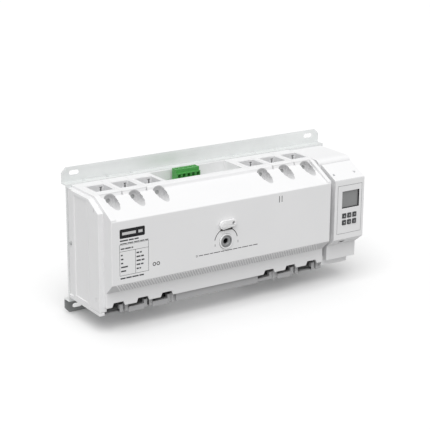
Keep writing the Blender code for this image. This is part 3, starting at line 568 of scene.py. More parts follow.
# One inner room, with the pockets and the recess standing in it as walled wells.
def hollowRear(piece):
    low, ledgeTop = rear["low"], rear["ledge"][1]
    (left, right), (back, front), floor = rear["recess"]
    room = looseSolid(addBlocks(bmesh.new(), [
        ((baseX[0] + wall, baseX[1] - wall), (baseDepth[0] + wall, rear["seam"] + 1),
         (ledgeTop + rear["roomGap"], rear["skinTop"] - wall))]))
    grow, deep = pocket["wall"], pocket["deep"]
    wells = pocketSpans(grow, topFace - deep, topFace) + pocketSpans(grow, low - 1, low + deep)
    wells.append(((left - recessWall["side"], right + recessWall["side"]),
            (back - recessWall["back"], front + recessWall["front"]),
            (floor - recessWall["floor"], topFace)))
    for span in wells:
        carveBlocks(room, [span])
    carveWith(piece, room)
    openings = pocketSpans(0, topFace - deep - 1, topFace + 1) + pocketSpans(0, 0, low + deep + 1)
    openings.append(((left, right), (back, front), (floor, topFace + 1)))
    carveBlocks(piece, openings)


# A post stands on the ledge beside each lower screw, split by a slot, with a gap between neighbours.
def buildPosts(piece):
    left, right = posts["span"]
    ledgeEdge, ledgeTop = rear["ledge"]
    cutDepth = (posts["setBack"], ledgeEdge + 1)
    gaps = [((max(pole - posts["pitch"] + right, rear["slab"]), pole + left), cutDepth,
            (rear["low"] - 1, ledgeTop + 1)) for pole in poles[:3] + poles[4:]]
    carveBlocks(piece, gaps)
    postDepth = (posts["rear"], ledgeEdge - 0.3)
    stands = [((pole + left, pole + right), postDepth, (rear["low"] + 1, posts["top"])) for pole in poles]
    carveBlocks(piece, stands, "UNION")
    centre = middle(posts["span"])
    slots = [((pole + centre - posts["slot"], pole + centre + posts["slot"]), cutDepth,
            (rear["low"] - 1, posts["top"] + 1)) for pole in poles]
    carveBlocks(piece, slots)


# A sunk band and a sunk panel on the left side, and fine grooves across the top between poles.
def buildSide(piece):
    left = baseX[0]
    near, far = sidePanel["band"]
    band = ((left - 1, left + sidePanel["bandSink"]), (near - 3, far), sidePanel["bandHeight"])
    carveBlocks(piece, [band])
    near, far = sidePanel["panel"]
    sink = left + sidePanel["panelSink"]
    panel = bmesh.new()
    addOutline(panel, "height", [(left - 1, near - 1.4), (sink, near), (sink, far - sidePanel["panelLean"]),
            (left - 0.05, far), (left - 1, far)], sidePanel["panelHeight"])
    carve(piece, panel)
    ends = (baseDepth[0] + 1.2, rear["seam"] - 0.8)
    for number, offset, half, sunk in topGrooves:
        centre = poles[number] + offset
        carveBlocks(piece, [((centre - half, centre + half), ends, (topFace - sunk, topFace + 1))])


buildRear()

# The front cover: a shell with a step, a slope, a flat front, a ribbed chamfer and a notched skirt.
cover = {"rear": 58.3, "step": 61.0, "stepLow": 130.0, "slopeEnd": 113.8, "faceEnd": 44.0,
    "chamferEnd": (85.4, 31.8), "skirtLow": 14.9, "slab": 6.3, "right": 292.5, "round": 0.8,
    "skinFront": 80.5, "skinLow": 9.8, "skinTop": 131.0, "skinEdge": 119.45, "skinLap": 3.0,
    "skinRound": 0.5, "rims": (6.2, 5.0), "rimRound": 0.4, "sleeve": (74.5, 9.4, 37.0),
    "ticks": ((14.0, 16.0), (57.0, 69.0), 0.4), "leverSlot": ((141.5, 157.5), (81.5, 85.5)),
    "clips": ((71.5, 121.3), (72.8, 22.5)), "clipHalf": (0.6, 2.2), "clipSink": 1.5}
# The raised rim at each end, as (depth, height) corners.
rimOutline = [(58.6, 128.9), (58.6, topFace), (62.5, topFace), (66.5, 131.9), (frontFace - 0.3, 115.8),
    (frontFace - 0.3, 112.4)]
# Round holes in the front, for the crank socket and the lever: (x, height, radius, sides).
frontHoles = ((axisX, axisHeight, 9.0, 48), (144.0, 89.0, 3.6, 32))
holeLength = 10.0
ribs = {"pitch": 3.3, "width": 1.9, "height": 0.6, "span": (17.5, 284.5), "lean": 10.0, "short": 2.2,
    "crest": 0.45}
# Painted shade: the down-facing chamfer, and the small faces within the screwdriver ways, take a darker
# finish.
paintedShadeReach = {"chamfer": 6.5, "across": 8.2, "above": 8.6, "tall": 17.0, "start": 60.0, "area": 60.0}
# Each screwdriver way narrows in steps towards the front: (depth, radius) pairs.
accessWay = ((55.0, 7.9), (63.5, 8.2), (64.0, 7.4), (69.5, 7.1), (70.0, 6.3), (75.5, 6.0), (76.0, 5.2),
    (88.0, 4.0))
accessShift = 1.0
throughFront = (90, 100)
# The stepped ring at the back of each way: (radius, offset) pairs from its rear face.
accessRingRear = 58.6
accessRing = ((8.3, 0.0), (8.3, 3.0), (6.9, 2.6), (6.8, 1.9), (5.3, 1.6), (5.2, 0.9), (2.6, 0.6),
    (2.4, 0.0))
notch = {"shift": -4.4, "foot": 9.0, "crown": 6.0, "top": 19.9, "depth": (77.5, 87.4)}


def coverOutline(inset):
    front, foot = frontFace - inset, cover["chamferEnd"][0] - inset
    return [(cover["rear"], topFace - inset), (cover["step"] - inset, topFace - inset),
            (cover["step"] + 1 - inset, cover["stepLow"] - inset), (front, cover["slopeEnd"] - inset / 2),
            (front, cover["faceEnd"] + inset / 2), (foot, cover["chamferEnd"][1]),
            (foot, cover["skirtLow"]), (cover["rear"], cover["skirtLow"])]


def buildCover():
    shape = roundedPrism(coverOutline(0), (cover["slab"], cover["right"]), cover["round"])
    shell = makePiece("frontCover", shape, [white], stands=["front_cover"])
    addCoverEnds(shell)
    hollowCover(shell)
    cutCover(shell)
    shell.data.materials.append(chamferAndWayShade)
    paintShadeOnCover(shell)
    settle(shell)


# A lower skin closes the left end, and a rim stands at each end.
def addCoverEnds(shell):
    start, edge, low = cover["rear"] + 0.2, cover["skinFront"], cover["skinLow"]
    crest = cover["step"] - 1.5
    skin = [(start, cover["skinTop"]), (crest, cover["skinTop"]), (edge, cover["skinEdge"]), (edge, low),
            (start, low)]
    span = (coverX[0], cover["slab"] + cover["skinLap"])
    carve(shell, roundedPrism(skin, span, cover["skinRound"]), "UNION")
    leftRim, rightRim = cover["rims"]
    for span in ((cover["slab"], cover["slab"] + leftRim), (cover["right"] - rightRim, cover["right"])):
        carve(shell, roundedPrism(rimOutline, span, cover["rimRound"]), "UNION")


# The hollow leaves a solid sleeve around each screwdriver way, and the ways are cut through afterwards.
def hollowCover(shell):
    inner = coverOutline(wall)
    back, floor = cover["rear"] - 1.3, rear["ledge"][1] - 1
    inner[0] = (back, inner[0][1])
    inner[-2] = (inner[-2][0], floor)
    inner[-1] = (back, floor)
    room = bmesh.new()
    addOutline(room, "x", inner, (cover["slab"] + wall, cover["right"] - wall))
    hollow = looseSolid(room)
    centre, around, length = cover["sleeve"]
    profile = [(0.0, accessWay[0][0]), *((radius, depth) for depth, radius in accessWay),
            (0.0, accessWay[-1][0])]
    sleeves = bmesh.new()
    drilled = bmesh.new()
    for pole in poles:
        addRod(sleeves, "depth", (pole, centre, wayHeight), around, length)
        addTurned(drilled, "depth", (pole - accessShift, 0.0, wayHeight), profile, steps=40)
    carve(hollow, sleeves)
    carveWith(shell, hollow)
    bmesh.ops.remove_doubles(drilled, verts=drilled.verts, dist=0.001 * mm)
    carve(shell, drilled)


# Ticks between the poles, notches in the skirt, openings in the front and two clip slots at the left.
def cutCover(shell):
    (left, right), ends, sink = cover["ticks"]
    carveBlocks(shell, [
        ((pole + left, pole + right), ends, (cover["stepLow"] - sink, topFace + 1))
        for pole in poles[:2] + poles[3:5]])
    notches = bmesh.new()
    foot = cover["skirtLow"] - 2
    for pole in poles:
        x, top = pole + notch["shift"], notch["top"]
        addOutline(notches, "depth", [(x - notch["foot"], foot), (x + notch["foot"], foot),
                (x + notch["crown"], top), (x - notch["crown"], top)], notch["depth"])
    carve(shell, notches)
    for x, height, radius, sides in frontHoles:
        hole = bmesh.new()
        addRod(hole, "depth", (x, frontFace, height), radius, holeLength, sides)
        carve(shell, hole)
    x, height = cover["leverSlot"]
    carveBlocks(shell, [(x, throughFront, height)])
    across, up = cover["clipHalf"]
    span = (coverX[0] - 1, coverX[0] + cover["clipSink"])
    for depth, level in cover["clips"]:
        carveBlocks(shell, [(span, (depth - across, depth + across), (level - up, level + up))])


# Picks the faces that get painted shade: the chamfer below the front, and small faces in the ways.
def paintShadeOnCover(shell):
    chamferHeight = at(0, 0, (cover["chamferEnd"][1] + cover["faceEnd"]) / 2).z
    wayTop = at(0, 0, wayHeight + paintedShadeReach["above"]).z
    wayStart = at(0, paintedShadeReach["start"], 0).y
    centres = [at(pole - accessShift, 0, 0).x for pole in poles]
    for face in shell.data.polygons:
        centre, normal = face.center, face.normal
        under = normal.z < -0.5 and normal.y < -0.4
        below = under and abs(centre.z - chamferHeight) < paintedShadeReach["chamfer"] * mm
        within = any(abs(centre.x - x) < paintedShadeReach["across"] * mm for x in centres)
        inWay = within and 0 < wayTop - centre.z < paintedShadeReach["tall"] * mm and centre.y < wayStart
        small = abs(normal.x) + abs(normal.z) > 0.3 and face.area < paintedShadeReach["area"] * mm * mm
        if below or (inWay and small):
            face.material_index = 1


# Leaning grip ribs run up the chamfer below the front face.
def buildRibs():
    shape = bmesh.new()
    foot, height = cover["chamferEnd"]
    run = Vector((frontFace - foot, cover["faceEnd"] - height))
    length = run.length - ribs["short"]
    run.normalize()
    lie = Matrix(((1, 0, 0), (0, -run.x, -run.y), (0, run.y, -run.x)))
    size = Matrix.Diagonal((ribs["width"] * mm, length * mm, 2 * ribs["height"] * mm, 1.0))
    start, stop = ribs["span"]
    for number in range(int((stop - start) / ribs["pitch"])):
        centre = at(start + number * ribs["pitch"], (foot + frontFace) / 2, (height + cover["faceEnd"]) / 2)
        spot = Matrix.Translation(centre) @ lie.to_4x4() @ size
        rib = bmesh.ops.create_cube(shape, size=1.0, matrix=spot)["verts"]
        crest = [vert for vert in rib if (vert.co - centre).dot(lie.col[2]) > 0]
        for vert in crest:
            vert.co.x += (centre.x - vert.co.x) * ribs["crest"]
        for vert in rib:
            vert.co.x -= ribs["lean"] / length * (vert.co - centre).dot(lie.col[1])
    # The ribs take the lighter edge finish, a painted highlight against the darker chamfer.
    makePiece("gripRibs", shape, [whiteEdgeHighlight])


# The rings at the back of the ways take the darker finish, painted shade in the ways.
def buildAccessRings():
    for name, pole in zip(bankNames, poles):
        centre = (pole - accessShift, accessRingRear, wayHeight)
        turnedPiece("accessRing_" + name, "depth", centre, accessRing, 40, chamferAndWayShade)


buildCover()
buildRibs()
buildAccessRings()
print("housings made")


# Thin lips around the upper wire pockets.
def buildPocketLips():
    shape = bmesh.new()
    grow = pocket["lip"]
    for pole in poles:
        x = pole + pocket["shift"]
        addTube(shape, (x - pocket["half"] - grow, x + pocket["half"] + grow),
                (pocket["rear"] - grow, pocket["front"] + grow),
                (topFace - 0.1, topFace + pocket["lipHeight"]), pocket["lipWall"])
    makePiece("pocketLips", shape, [white])


buildPocketLips()


clamp = {"round": 0.25, "half": 8.8, "front": 48.3, "wall": 1.6, "screwShift": -3.5, "screwRear": 38.5}
clampHead = ((0.0, 0.0), (3.2, 0.0), (3.2, 5.6), (2.8, 6.2), (0.0, 6.2))
lowerScrew = ((0.0, 0.0), (3.0, 0.0), (3.0, 12.6), (2.6, 13.0), (1.7, 13.0), (1.7, 10.5), (0.0, 10.5))


# Wire clamps with their screws; the lower ones mirror the upper ones about the socket's height.
def buildClamps():
    lowerHeight = 2 * axisHeight - wayHeight
    for name, pole in zip(bankNames, poles):
        piece = copyPiece("wireClamp_" + name, "wire_clamp_" + name, [steel])
        roundEdges(piece, clamp["round"], 2)
        depth, height = reach("wire_clamp_" + name)[1:]
        half = (height[1] - height[0]) / 2
        turnedPiece("clampScrewHead_" + name, "depth", (pole, depth[1] - 0.4, middle(height)), clampHead,
                32, icon)
        shape = bmesh.new()
        addTube(shape, (pole - clamp["half"], pole + clamp["half"]), (depth[0], clamp["front"]),
                (lowerHeight - half, lowerHeight + half), clamp["wall"])
        lower = makePiece("lowerClamp_" + name, shape, [steel])
        roundEdges(lower, clamp["round"], 2)
        centre = (pole + clamp["screwShift"], clamp["screwRear"], lowerHeight)
        turnedPiece("lowerClampScrew_" + name, "depth", centre, lowerScrew, 24, steel)


buildClamps()

# The control plug: seams between its ways, and a slotted screw in each.
plug = {"ways": 5, "round": 0.35, "seamTop": 0.7, "seamFront": 0.5, "screwDepth": 4.5, "screwDrop": 3.9,
    "slotHalf": (1.5, 0.2), "slotDrop": (2.3, 2.0)}
plugScrew = ((0.0, 0.0), (1.95, 0.0), (1.95, 1.5), (1.7, 1.8), (0.0, 1.8))


def buildPlug():
    x, depth, height = reach("terminal_plug")
    piece = copyPiece("controlPlug", "terminal_plug", [green], "plug")
    pitch = (x[1] - x[0]) / plug["ways"]
    notches = bmesh.new()
    for way in range(1, plug["ways"]):
        seam = x[0] + way * pitch
        addBlock(notches, (seam - 0.3, seam + 0.3), (depth[0] - 1, depth[1] + 1),
                (height[1] - plug["seamTop"], height[1] + 1))
        addBlock(notches, (seam - 0.25, seam + 0.25), (depth[1] - plug["seamFront"], depth[1] + 1),
                (height[0] - 1, height[1] + 1))
    carve(piece, notches)
    roundEdges(piece, plug["round"], 2)
    screws = bmesh.new()
    long, thin = plug["slotHalf"]
    low, high = plug["slotDrop"]
    screwDepth = depth[0] + plug["screwDepth"]
    for way in range(plug["ways"]):
        centre = x[0] + (way + 0.5) * pitch
        foot = height[1] - plug["screwDrop"]
        addTurned(screws, "height", (centre, screwDepth, foot), plugScrew, steps=20)
        addBlock(screws, (centre - long, centre + long), (screwDepth - thin, screwDepth + thin),
                (height[1] - low, height[1] - high))
    sharpen(makePiece("plugScrews", screws, [steel], "plug"))
    header = copyPiece("plugHeader", "plug_header", [green])
    roundEdges(header, plug["round"], 2)


buildPlug()
print("terminals made")

# The crank socket with its two-tone bezel, and the selector lever.
drive = {"round": 0.4, "spindleRound": 0.3, "greyRadius": 7.25, "arc": 14.6, "arcWidth": 0.8}
spindleRing = ((3.2, 0.0), (5.9, 0.0), (5.9, 2.0), (5.6, 2.3), (4.0, 2.3), (3.2, 1.4))


def buildDrive():
    depth = reach("socket_bezel")[1]
    tall = depth[1] - depth[0]
    shape = bmesh.new()
    addTurned(shape, "depth", (axisX, depth[0], axisHeight),
            [(6.2, 0.0), (8.6, 0.0), (8.6, tall - 0.3), (8.3, tall), (7.5, tall), (7.2, tall - 0.3),
            (6.2, tall - 0.3)], steps=56)
    bezel = makePiece("socketBezel", shape, [white, grey], stands=["socket_bezel"])
    centre = at(axisX, 0, axisHeight)
    for face in bezel.data.polygons:
        if math.hypot(face.center.x - centre.x, face.center.z - centre.z) < drive["greyRadius"] * mm:
            face.material_index = 1
    sharpen(bezel)
    face = reach("drive_spindle")[1][1]
    turnedPiece("spindleRing", "depth", (axisX, face, axisHeight), spindleRing, 48, grey,
            "spindle")
    spindle = copyPiece("crankSpindle", "drive_spindle", [dark], "spindle")
    roundEdges(spindle, drive["spindleRound"], 2, 40)
    # The lever's bevels take the lighter edge finish, a painted highlight.
    lever = copyPiece("selectorLever", "selector_lever", [white, whiteEdgeHighlight], "selector")
    roundEdges(lever, drive["round"], 3, 35, 1)


buildDrive()

# The controller: a rear half, and a front half with a screen, six keys and two screws.
control = {"round": 0.8, "panel": ((304.2, 339.6), (49.0, 107.2)), "groove": 0.5, "latch": (313.0, 321.0),
    "step": 68.0, "front": 95.8, "boxFront": 82.8, "boxTop": 32.6, "boxLow": 14.2, "left": 300.5,
    "slope": (69.0, 127.2), "slopeEnd": 113.8, "faceEnd": 42.1, "top": 132.5, "low": 5.8,
    "foot": ((40.0, 76.0), 18.2, 335.8), "boxRear": 50.0, "keyHole": 3.0,
    "screwHole": (119.0, 1.5, 12.0), "latchDepth": (84.0, 96.5), "latchHeight": (36.0, 38.6),
    "grooveSink": 0.4}


def controlOutline(inset):
    front, step, low = control["front"] - inset, control["step"], control["boxTop"] + inset
    slopeDepth, slopeTop = control["slope"]
    return [(step, slopeTop - inset), (slopeDepth, slopeTop - inset),
            (front, control["slopeEnd"] - inset / 2), (front, control["faceEnd"] + inset / 2),
            (control["boxFront"] + 1, low), (step, low)]


def buildController():
    x, depth = reach("controller_base")[:2]
    seam = control["step"] - 0.3
    low, top = control["low"], control["top"]
    edge = control["slope"][1] + 0.4
    curve = [(seam - 0.6, edge + 1.7), (seam - 2.0, edge + 3.2), (seam - 4.6, edge + 4.5)]
    outline = [(depth[0], low), (seam, low), (seam, edge), *curve, (seam - 8.0, top), (depth[0], top)]
    rearHalf = makePiece("controllerRear", roundedPrism(outline, x, 0.6), [white],
            stands=["controller_base"])
    (near, far), footTop, right = control["foot"]
    foot = [(near, low + 0.4), (far, low + 0.4), (far, footTop), (near, footTop)]
    carve(rearHalf, roundedPrism(foot, (x[0] + 1, right), 0.4), "UNION")
    near, far, boxTop = control["boxRear"], control["boxFront"], control["boxTop"] - 0.3
    box = [(near, control["boxLow"]), (far, control["boxLow"]), (far, boxTop), (near, boxTop)]
    carve(rearHalf, roundedPrism(box, (control["left"], x[1] - 0.4), 0.6), "UNION")
    settle(rearHalf)
    buildControllerFront((control["left"], x[1]))


def buildControllerFront(span):
    front = makePiece("controllerFront", roundedPrism(controlOutline(0), span, control["round"]), [white],
            stands=["controller_cover"])
    inner = controlOutline(wall)
    back = control["step"] - 1
    inner[0] = (back, inner[0][1])
    inner[-1] = (back, inner[-1][1])
    hollow = bmesh.new()
    addOutline(hollow, "x", inner, (span[0] + wall, span[1] - wall))
    carve(front, hollow)
    x, depth, height = reach("screen_window")
    carveBlocks(front, [
        ((x[0] - 0.3, x[1] + 0.3), throughFront, (height[0] - 0.3, height[1] + 0.3))])
    half = control["keyHole"]
    keys = [reach("key_" + str(number)) for number in range(1, 7)]
    centres = [(middle(spans[0]), middle(spans[2])) for spans in keys]
    carveBlocks(front, [
        ((across - half, across + half), throughFront, (level - half, level + half))
        for across, level in centres])
    screws = bmesh.new()
    level, radius, length = control["screwHole"]
    for side in ("left", "right"):
        spans = reach("controller_screw_" + side)
        addRod(screws, "height", (middle(spans[0]), middle(spans[1]), level), radius, length, 24)
    carve(front, screws)
    face = control["front"]
    (left, right), (low, high) = control["panel"]
    wide = control["groove"]
    for side, level in (((left, right), (low, low + wide)), ((left, right), (high - wide, high)),
            ((left, left + wide), (low, high)), ((right - wide, right), (low, high))):
        carveBlocks(front, [(side, (face - control["grooveSink"], face + 1), level)])
    carveBlocks(front, [(control["latch"], control["latchDepth"], control["latchHeight"])])
    # The darker grey and the dark moulding finishes are painted shade in the panel groove and the screen
    # walls.
    front.data.materials.append(shade)
    front.data.materials.append(dark)
    shadeControllerFront(front, x, height)
    settle(front)


# Painted shade: the walls around the screen take the dark moulding finish, and the groove around the panel
# takes the darker grey finish.
def shadeControllerFront(front, x, height):
    face = control["front"]
    (left, right), (low, high) = control["panel"]
    screenLow = at(x[0] - 0.4, face, height[0] - 0.4)
    screenHigh = at(x[1] + 0.4, face - 5.0, height[1] + 0.4)
    grooveLow = at(left - 0.1, face - 0.15, low - 0.1)
    grooveHigh = at(right + 0.1, face - 0.6, high)
    for polygon in front.data.polygons:
        centre = polygon.center
        sunk = centre.y > grooveLow.y
        onScreen = screenLow.x < centre.x < screenHigh.x and screenLow.z < centre.z < screenHigh.z
        onPanel = grooveLow.x < centre.x < grooveHigh.x and centre.z > grooveLow.z
        if sunk and onScreen and centre.y < screenHigh.y:
            polygon.material_index = 2
        elif sunk and onPanel and centre.y < grooveHigh.y:
            polygon.material_index = 1


# Keys 1 and 4 carry an arrow, 2 and 5 a ring, 3 and 6 two bars.
keyIcons = {"sink": 0.02, "proud": 0.05, "arrow": (1.3, 0.8, 1.1), "ring": (0.75, 1.2, 0.07),
    "bars": (1.2, 0.4, (-0.7, 0.5))}


def buildKeys():
    for number in range(1, 7):
        node = "key_" + str(number)
        x, depth, height = reach(node)
        cap = copyPiece("keyCap_" + str(number), node, [keyDark], node)
        roundEdges(cap, 0.4, 3)
        centreX, centreHeight, face = middle(x), middle(height), depth[1]
        shape = bmesh.new()
        span = (face - keyIcons["sink"], face + keyIcons["proud"])
        if number in (1, 4):
            half, below, above = keyIcons["arrow"]
            turn = 1 if number == 1 else -1
            addOutline(shape, "depth", [(centreX - half, centreHeight - turn * below),
                    (centreX + half, centreHeight - turn * below),
                    (centreX, centreHeight + turn * above)], span)
        elif number in (2, 5):
            section = ringSection(*keyIcons["ring"])
            addTurned(shape, "depth", (centreX, span[0], centreHeight), section, steps=20)
        else:
            half, tall, lifts = keyIcons["bars"]
            for lift in lifts:
                addBlock(shape, (centreX - half, centreX + half), span,
                        (centreHeight + lift, centreHeight + lift + tall))
        makePiece("keyIcon_" + str(number), shape, [icon], node)


def buildScreen():
    x, depth, height = reach("screen_window")
    shape = bmesh.new()
    addBlock(shape, x, (depth[0], depth[0] + 0.6), height)
    pane = makePiece("displayPane", shape, [display], stands=["screen_window"])
    roundEdges(pane, 0.2, 2)


coverScrew = ((0.0, 0.0), (1.2, 0.0), (1.2, 4.6), (0.9, 5.0), (0.45, 5.0), (0.45, 4.2), (0.0, 4.2))


def buildControllerScrews():
    for side in ("left", "right"):
        node = "controller_screw_" + side
        x, depth, height = reach(node)
        turnedPiece("coverScrew_" + side, "height", (middle(x), middle(depth), height[0]), coverScrew,
                20, steel, stands=[node])


buildController()
buildKeys()
buildScreen()
buildControllerScrews()
print("controller made")

# Plain prints on the front: a blank badge, a ruled table, dashes for type, and marks around the socket.
label = {"badge": ((16.1, 46.3), (94.6, 104.7)), "badgeCorner": 0.6, "bars": ((19.0, 35.5), (38.5, 43.5)),
    "barHeight": (98.2, 101.2), "table": ((15.6, 50.7), (53.8, 87.5)), "column": 34.5, "row": 80.2,
    "line": 0.34, "sink": 0.03, "thick": 0.06, "proud": 0.09}
# Rows of dashes: (start, height, dash lengths, dash height).
headRows = ((16.4, 91.4, (9.5, 6.0, 5.0), 1.5), (16.4, 88.4, (8.0, 7.0, 6.5, 5.0, 4.0), 1.0),
    (17.2, 82.6, (4.5, 6.5, 2.0), 1.4))
footRows = ((16.4, 50.0, (6.0, 6.5, 7.5, 5.5), 1.5),
    (113.4, 58.2, (5.5, 7.0, 4.0, 8.5, 5.0, 9.0, 6.0, 4.5, 8.0, 5.0, 6.0), 0.8))
# The table's own rows: the length of the first dash and of the two after the column line.
tableRows = {"cells": ((2.2, 5.5), (3.0, 8.0), (2.6, 8.6), (8.2, 7.4), (6.0, 4.4)), "starts": (17.2, 35.9),
    "top": 75.6, "pitch": 4.4, "shares": (0.6, 0.4), "tall": (1.5, 1.6)}
# Upright lines: (left edges, width, heights).
lineMarks = (((219.4, 222.9), 0.8, (102.4, 109.5)), ((134.2, 164.2), 0.5, (65.4, 68.2)))
# Small rings: (x, height, inner radius, outer radius, steps).
ringSpots = ((57.6, 59.8, 1.3, 2.1, 24), (62.4, 59.8, 1.3, 2.1, 24), (110.8, 58.6, 0.7, 1.1, 16))
turnArcs = {"starts": (12, 108), "sweep": 60, "steps": 20}


def addPrint(shape, x, height):
    addBlock(shape, x, (frontFace - label["sink"], frontFace + label["thick"]), height)


def addDashes(shape, start, height, words, tall, space=0.9):
    x = start
    for word in words:
        addPrint(shape, (x, x + word), (height, height + tall))
        x += word + space


def buildBadge():
    badge = bmesh.new()
    (left, right), (low, high) = label["badge"]
    corner = label["badgeCorner"]
    addPrint(badge, (left + corner, right - corner), (low, high))
    addPrint(badge, (left, left + corner), (low + corner, high - corner))
    addPrint(badge, (right - corner, right), (low + corner, high - corner))
    makePiece("blankBadge", badge, [blackInk])
    bars = bmesh.new()
    for x in label["bars"]:
        addBlock(bars, x, (frontFace, frontFace + label["proud"]), label["barHeight"])
    makePiece("badgeBars", bars, [paleInk])


def buildTable():
    (left, right), (low, high) = label["table"]
    lines = bmesh.new()
    line = label["line"]
    for height in (low, label["row"], high):
        addPrint(lines, (left, right), (height, height + line))
    for x in (left, right - line):
        addPrint(lines, (x, x + line), (low, high))
    addPrint(lines, (label["column"], label["column"] + line), (low, label["row"]))
    makePiece("tableLines", lines, [greyInk])
    words = bmesh.new()
    for row in headRows:
        addDashes(words, *row)
    names, amounts = tableRows["starts"]
    nameTall, amountTall = tableRows["tall"]
    for row, (name, amount) in enumerate(tableRows["cells"]):
        height = tableRows["top"] - row * tableRows["pitch"]
        addDashes(words, names, height, (name,), nameTall)
        addDashes(words, amounts, height, [amount * share for share in tableRows["shares"]], amountTall)
    for row in footRows:
        addDashes(words, *row)
    makePiece("dashedText", words, [greyInk])


def buildMarks():
    marks = bmesh.new()
    for lefts, wide, heights in lineMarks:
        for x in lefts:
            addPrint(marks, (x, x + wide), heights)
    makePiece("positionMarks", marks, [blackInk])
    rings = bmesh.new()
    back = frontFace - label["sink"]
    for x, height, inner, outer, steps in ringSpots:
        addTurned(rings, "depth", (x, back, height), ringSection(inner, outer, label["proud"]), steps=steps)
    makePiece("ringMarks", rings, [blackInk])
    arcs = bmesh.new()
    section = ringSection(drive["arc"], drive["arc"] + drive["arcWidth"], label["proud"])
    for start in turnArcs["starts"]:
        addTurned(arcs, "depth", (axisX, back, axisHeight), section, steps=turnArcs["steps"],
                angle=math.radians(turnArcs["sweep"]), start=math.radians(start))
    makePiece("turnArcs", arcs, [blackInk])


buildBadge()
buildTable()
buildMarks()


# Screws of the side band and of the plate: (radius, offset) sections.
sideScrew = ((0.0, 1.6), (2.2, 1.6), (2.2, 0.8), (1.6, 0.1), (0.8, 0.0), (0.8, 0.7), (0.0, 0.7))
plateScrew = ((0.0, 0.0), (0.9, 0.0), (0.9, -0.9), (1.6, -2.0), (3.1, -1.4), (3.6, 0.0), (2.0, 0.0),
    (2.0, 4.0), (0.0, 4.0))
plateScrews = {"across": (110.0, 198.0), "heights": (22.0, 116.0), "depth": 8.3}


def buildSideScrew():
    depth, height = sidePanel["screw"]
    turnedPiece("sideScrew", "x", (baseX[0] + 0.05, depth, height), sideScrew, 24, icon)


def buildPlateScrews():
    shape = bmesh.new()
    for x in plateScrews["across"]:
        for height in plateScrews["heights"]:
            addTurned(shape, "depth", (x, plateScrews["depth"], height), plateScrew, steps=24)
    sharpen(makePiece("plateScrews", shape, [steel]))


buildSideScrew()
buildPlateScrews()

# Inner pieces keep their own meshes and only take a finish.
kept = (
    (board, ["controller_board", "header_board"]),
    (steel, ["contact_shaft", "screen_module", "rack_guide", "drive_motor"]),
    (plated, ["gear_plate"]),
    (grey, ["transfer_rack", "shaft_bearing_left", "shaft_bearing_right"]),
    (dark, ["rotor_I", "rotor_II"]),
    (brass, ["shaft_gear", "spindle_pinion", "spindle_gear", "motor_pinion"]),
    (copper, ["blade_" + name for name in bankNames]),
    (steel, [kind + name for kind in ("upper_terminal_", "lower_terminal_") for name in bankNames]),
)
for finish, nodes in kept:
    for node in nodes:
        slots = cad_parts[node].material_slots
        if not slots:
            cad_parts[node].data.materials.append(finish)
        for place in slots:
            place.material = finish
print("inner pieces finished")

# The floor, a soft room that is brighter above than below, and one wide sun.
stageLook = {"floorHalf": 6.0, "floorDrop": 0.2, "world": 1.0, "worldSteps": ((0.42, 0.53), (0.75, 0.66)),
    "sun": 1.85, "sunSpread": 50, "sunWay": (0.32, 0.42, -0.85)}


def buildFloor():
    shape = bmesh.new()
    low = plateLow.z - stageLook["floorDrop"] * mm
    bmesh.ops.create_grid(shape, x_segments=2, y_segments=2, size=stageLook["floorHalf"],
            matrix=Matrix.Translation((0, 0, low)))
    mesh = bpy.data.meshes.new("floor")
    shape.to_mesh(mesh)
    shape.free()
    floor = bpy.data.objects.new("floor", mesh)
    mesh.materials.append(floorFinish("paleFloor", floorLook))
    bpy.context.scene.collection.objects.link(floor)
    floor.visible_diffuse = False


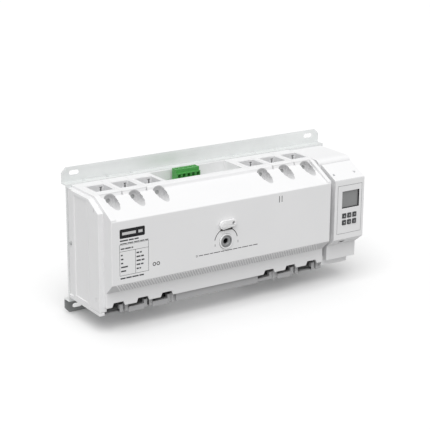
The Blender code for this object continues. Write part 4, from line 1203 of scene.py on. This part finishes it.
def buildLight():
    world = bpy.data.worlds.new("softRoom")
    world.use_nodes = True
    tree = world.node_tree
    spot = tree.nodes.new("ShaderNodeTexCoord")
    parts = tree.nodes.new("ShaderNodeSeparateXYZ")
    ramp = tree.nodes.new("ShaderNodeValToRGB")
    lift = tree.nodes.new("ShaderNodeMath")
    lift.operation = "MULTIPLY_ADD"
    lift.inputs[1].default_value = 0.5
    lift.inputs[2].default_value = 0.5
    for element, (height, tone) in zip(ramp.color_ramp.elements, stageLook["worldSteps"]):
        element.position = height
        element.color = (tone, tone, tone, 1.0)
    tree.links.new(spot.outputs["Generated"], parts.inputs[0])
    tree.links.new(parts.outputs["Z"], lift.inputs[0])
    tree.links.new(lift.outputs[0], ramp.inputs["Fac"])
    tree.links.new(ramp.outputs["Color"], tree.nodes["Background"].inputs["Color"])
    tree.nodes["Background"].inputs["Strength"].default_value = stageLook["world"]
    bpy.context.scene.world = world
    sun = bpy.data.objects.new("softSun", bpy.data.lights.new("softSun", "SUN"))
    sun.data.energy = stageLook["sun"]
    sun.data.angle = math.radians(stageLook["sunSpread"])
    sun.rotation_mode = "QUATERNION"
    sun.rotation_quaternion = Vector(stageLook["sunWay"]).to_track_quat("-Z", "Y")
    bpy.context.scene.collection.objects.link(sun)
    bpy.context.scene.view_settings.view_transform = "Standard"


# The camera stands to the left of the switch and a little above it.
shot = {"place": (-630.3, 1263.4, 532.0), "heading": 33.26, "tilt": 17.16, "roll": 0.366, "lens": 112.99}


def buildCamera():
    camera = bpy.data.objects.new("camera", bpy.data.cameras.new("camera"))
    bpy.context.scene.collection.objects.link(camera)
    camera.data.lens = shot["lens"]
    camera.data.sensor_width = 36.0
    camera.data.clip_end = 50.0
    heading, tilt, roll = (math.radians(shot[key]) for key in ("heading", "tilt", "roll"))
    flat = math.cos(tilt)
    ahead = Vector((math.sin(heading) * flat, math.cos(heading) * flat, -math.sin(tilt)))
    side = Vector((math.cos(heading), -math.sin(heading), 0.0))
    above = side.cross(ahead)
    right = math.cos(roll) * side + math.sin(roll) * above
    up = math.cos(roll) * above - math.sin(roll) * side
    turn = Matrix((right, up, -ahead)).transposed().to_4x4()
    camera.matrix_world = Matrix.Translation(at(*shot["place"])) @ turn
    bpy.context.scene.camera = camera


buildFloor()
buildLight()
buildCamera()
print("stage and camera set")

bpy.context.view_layer.update()
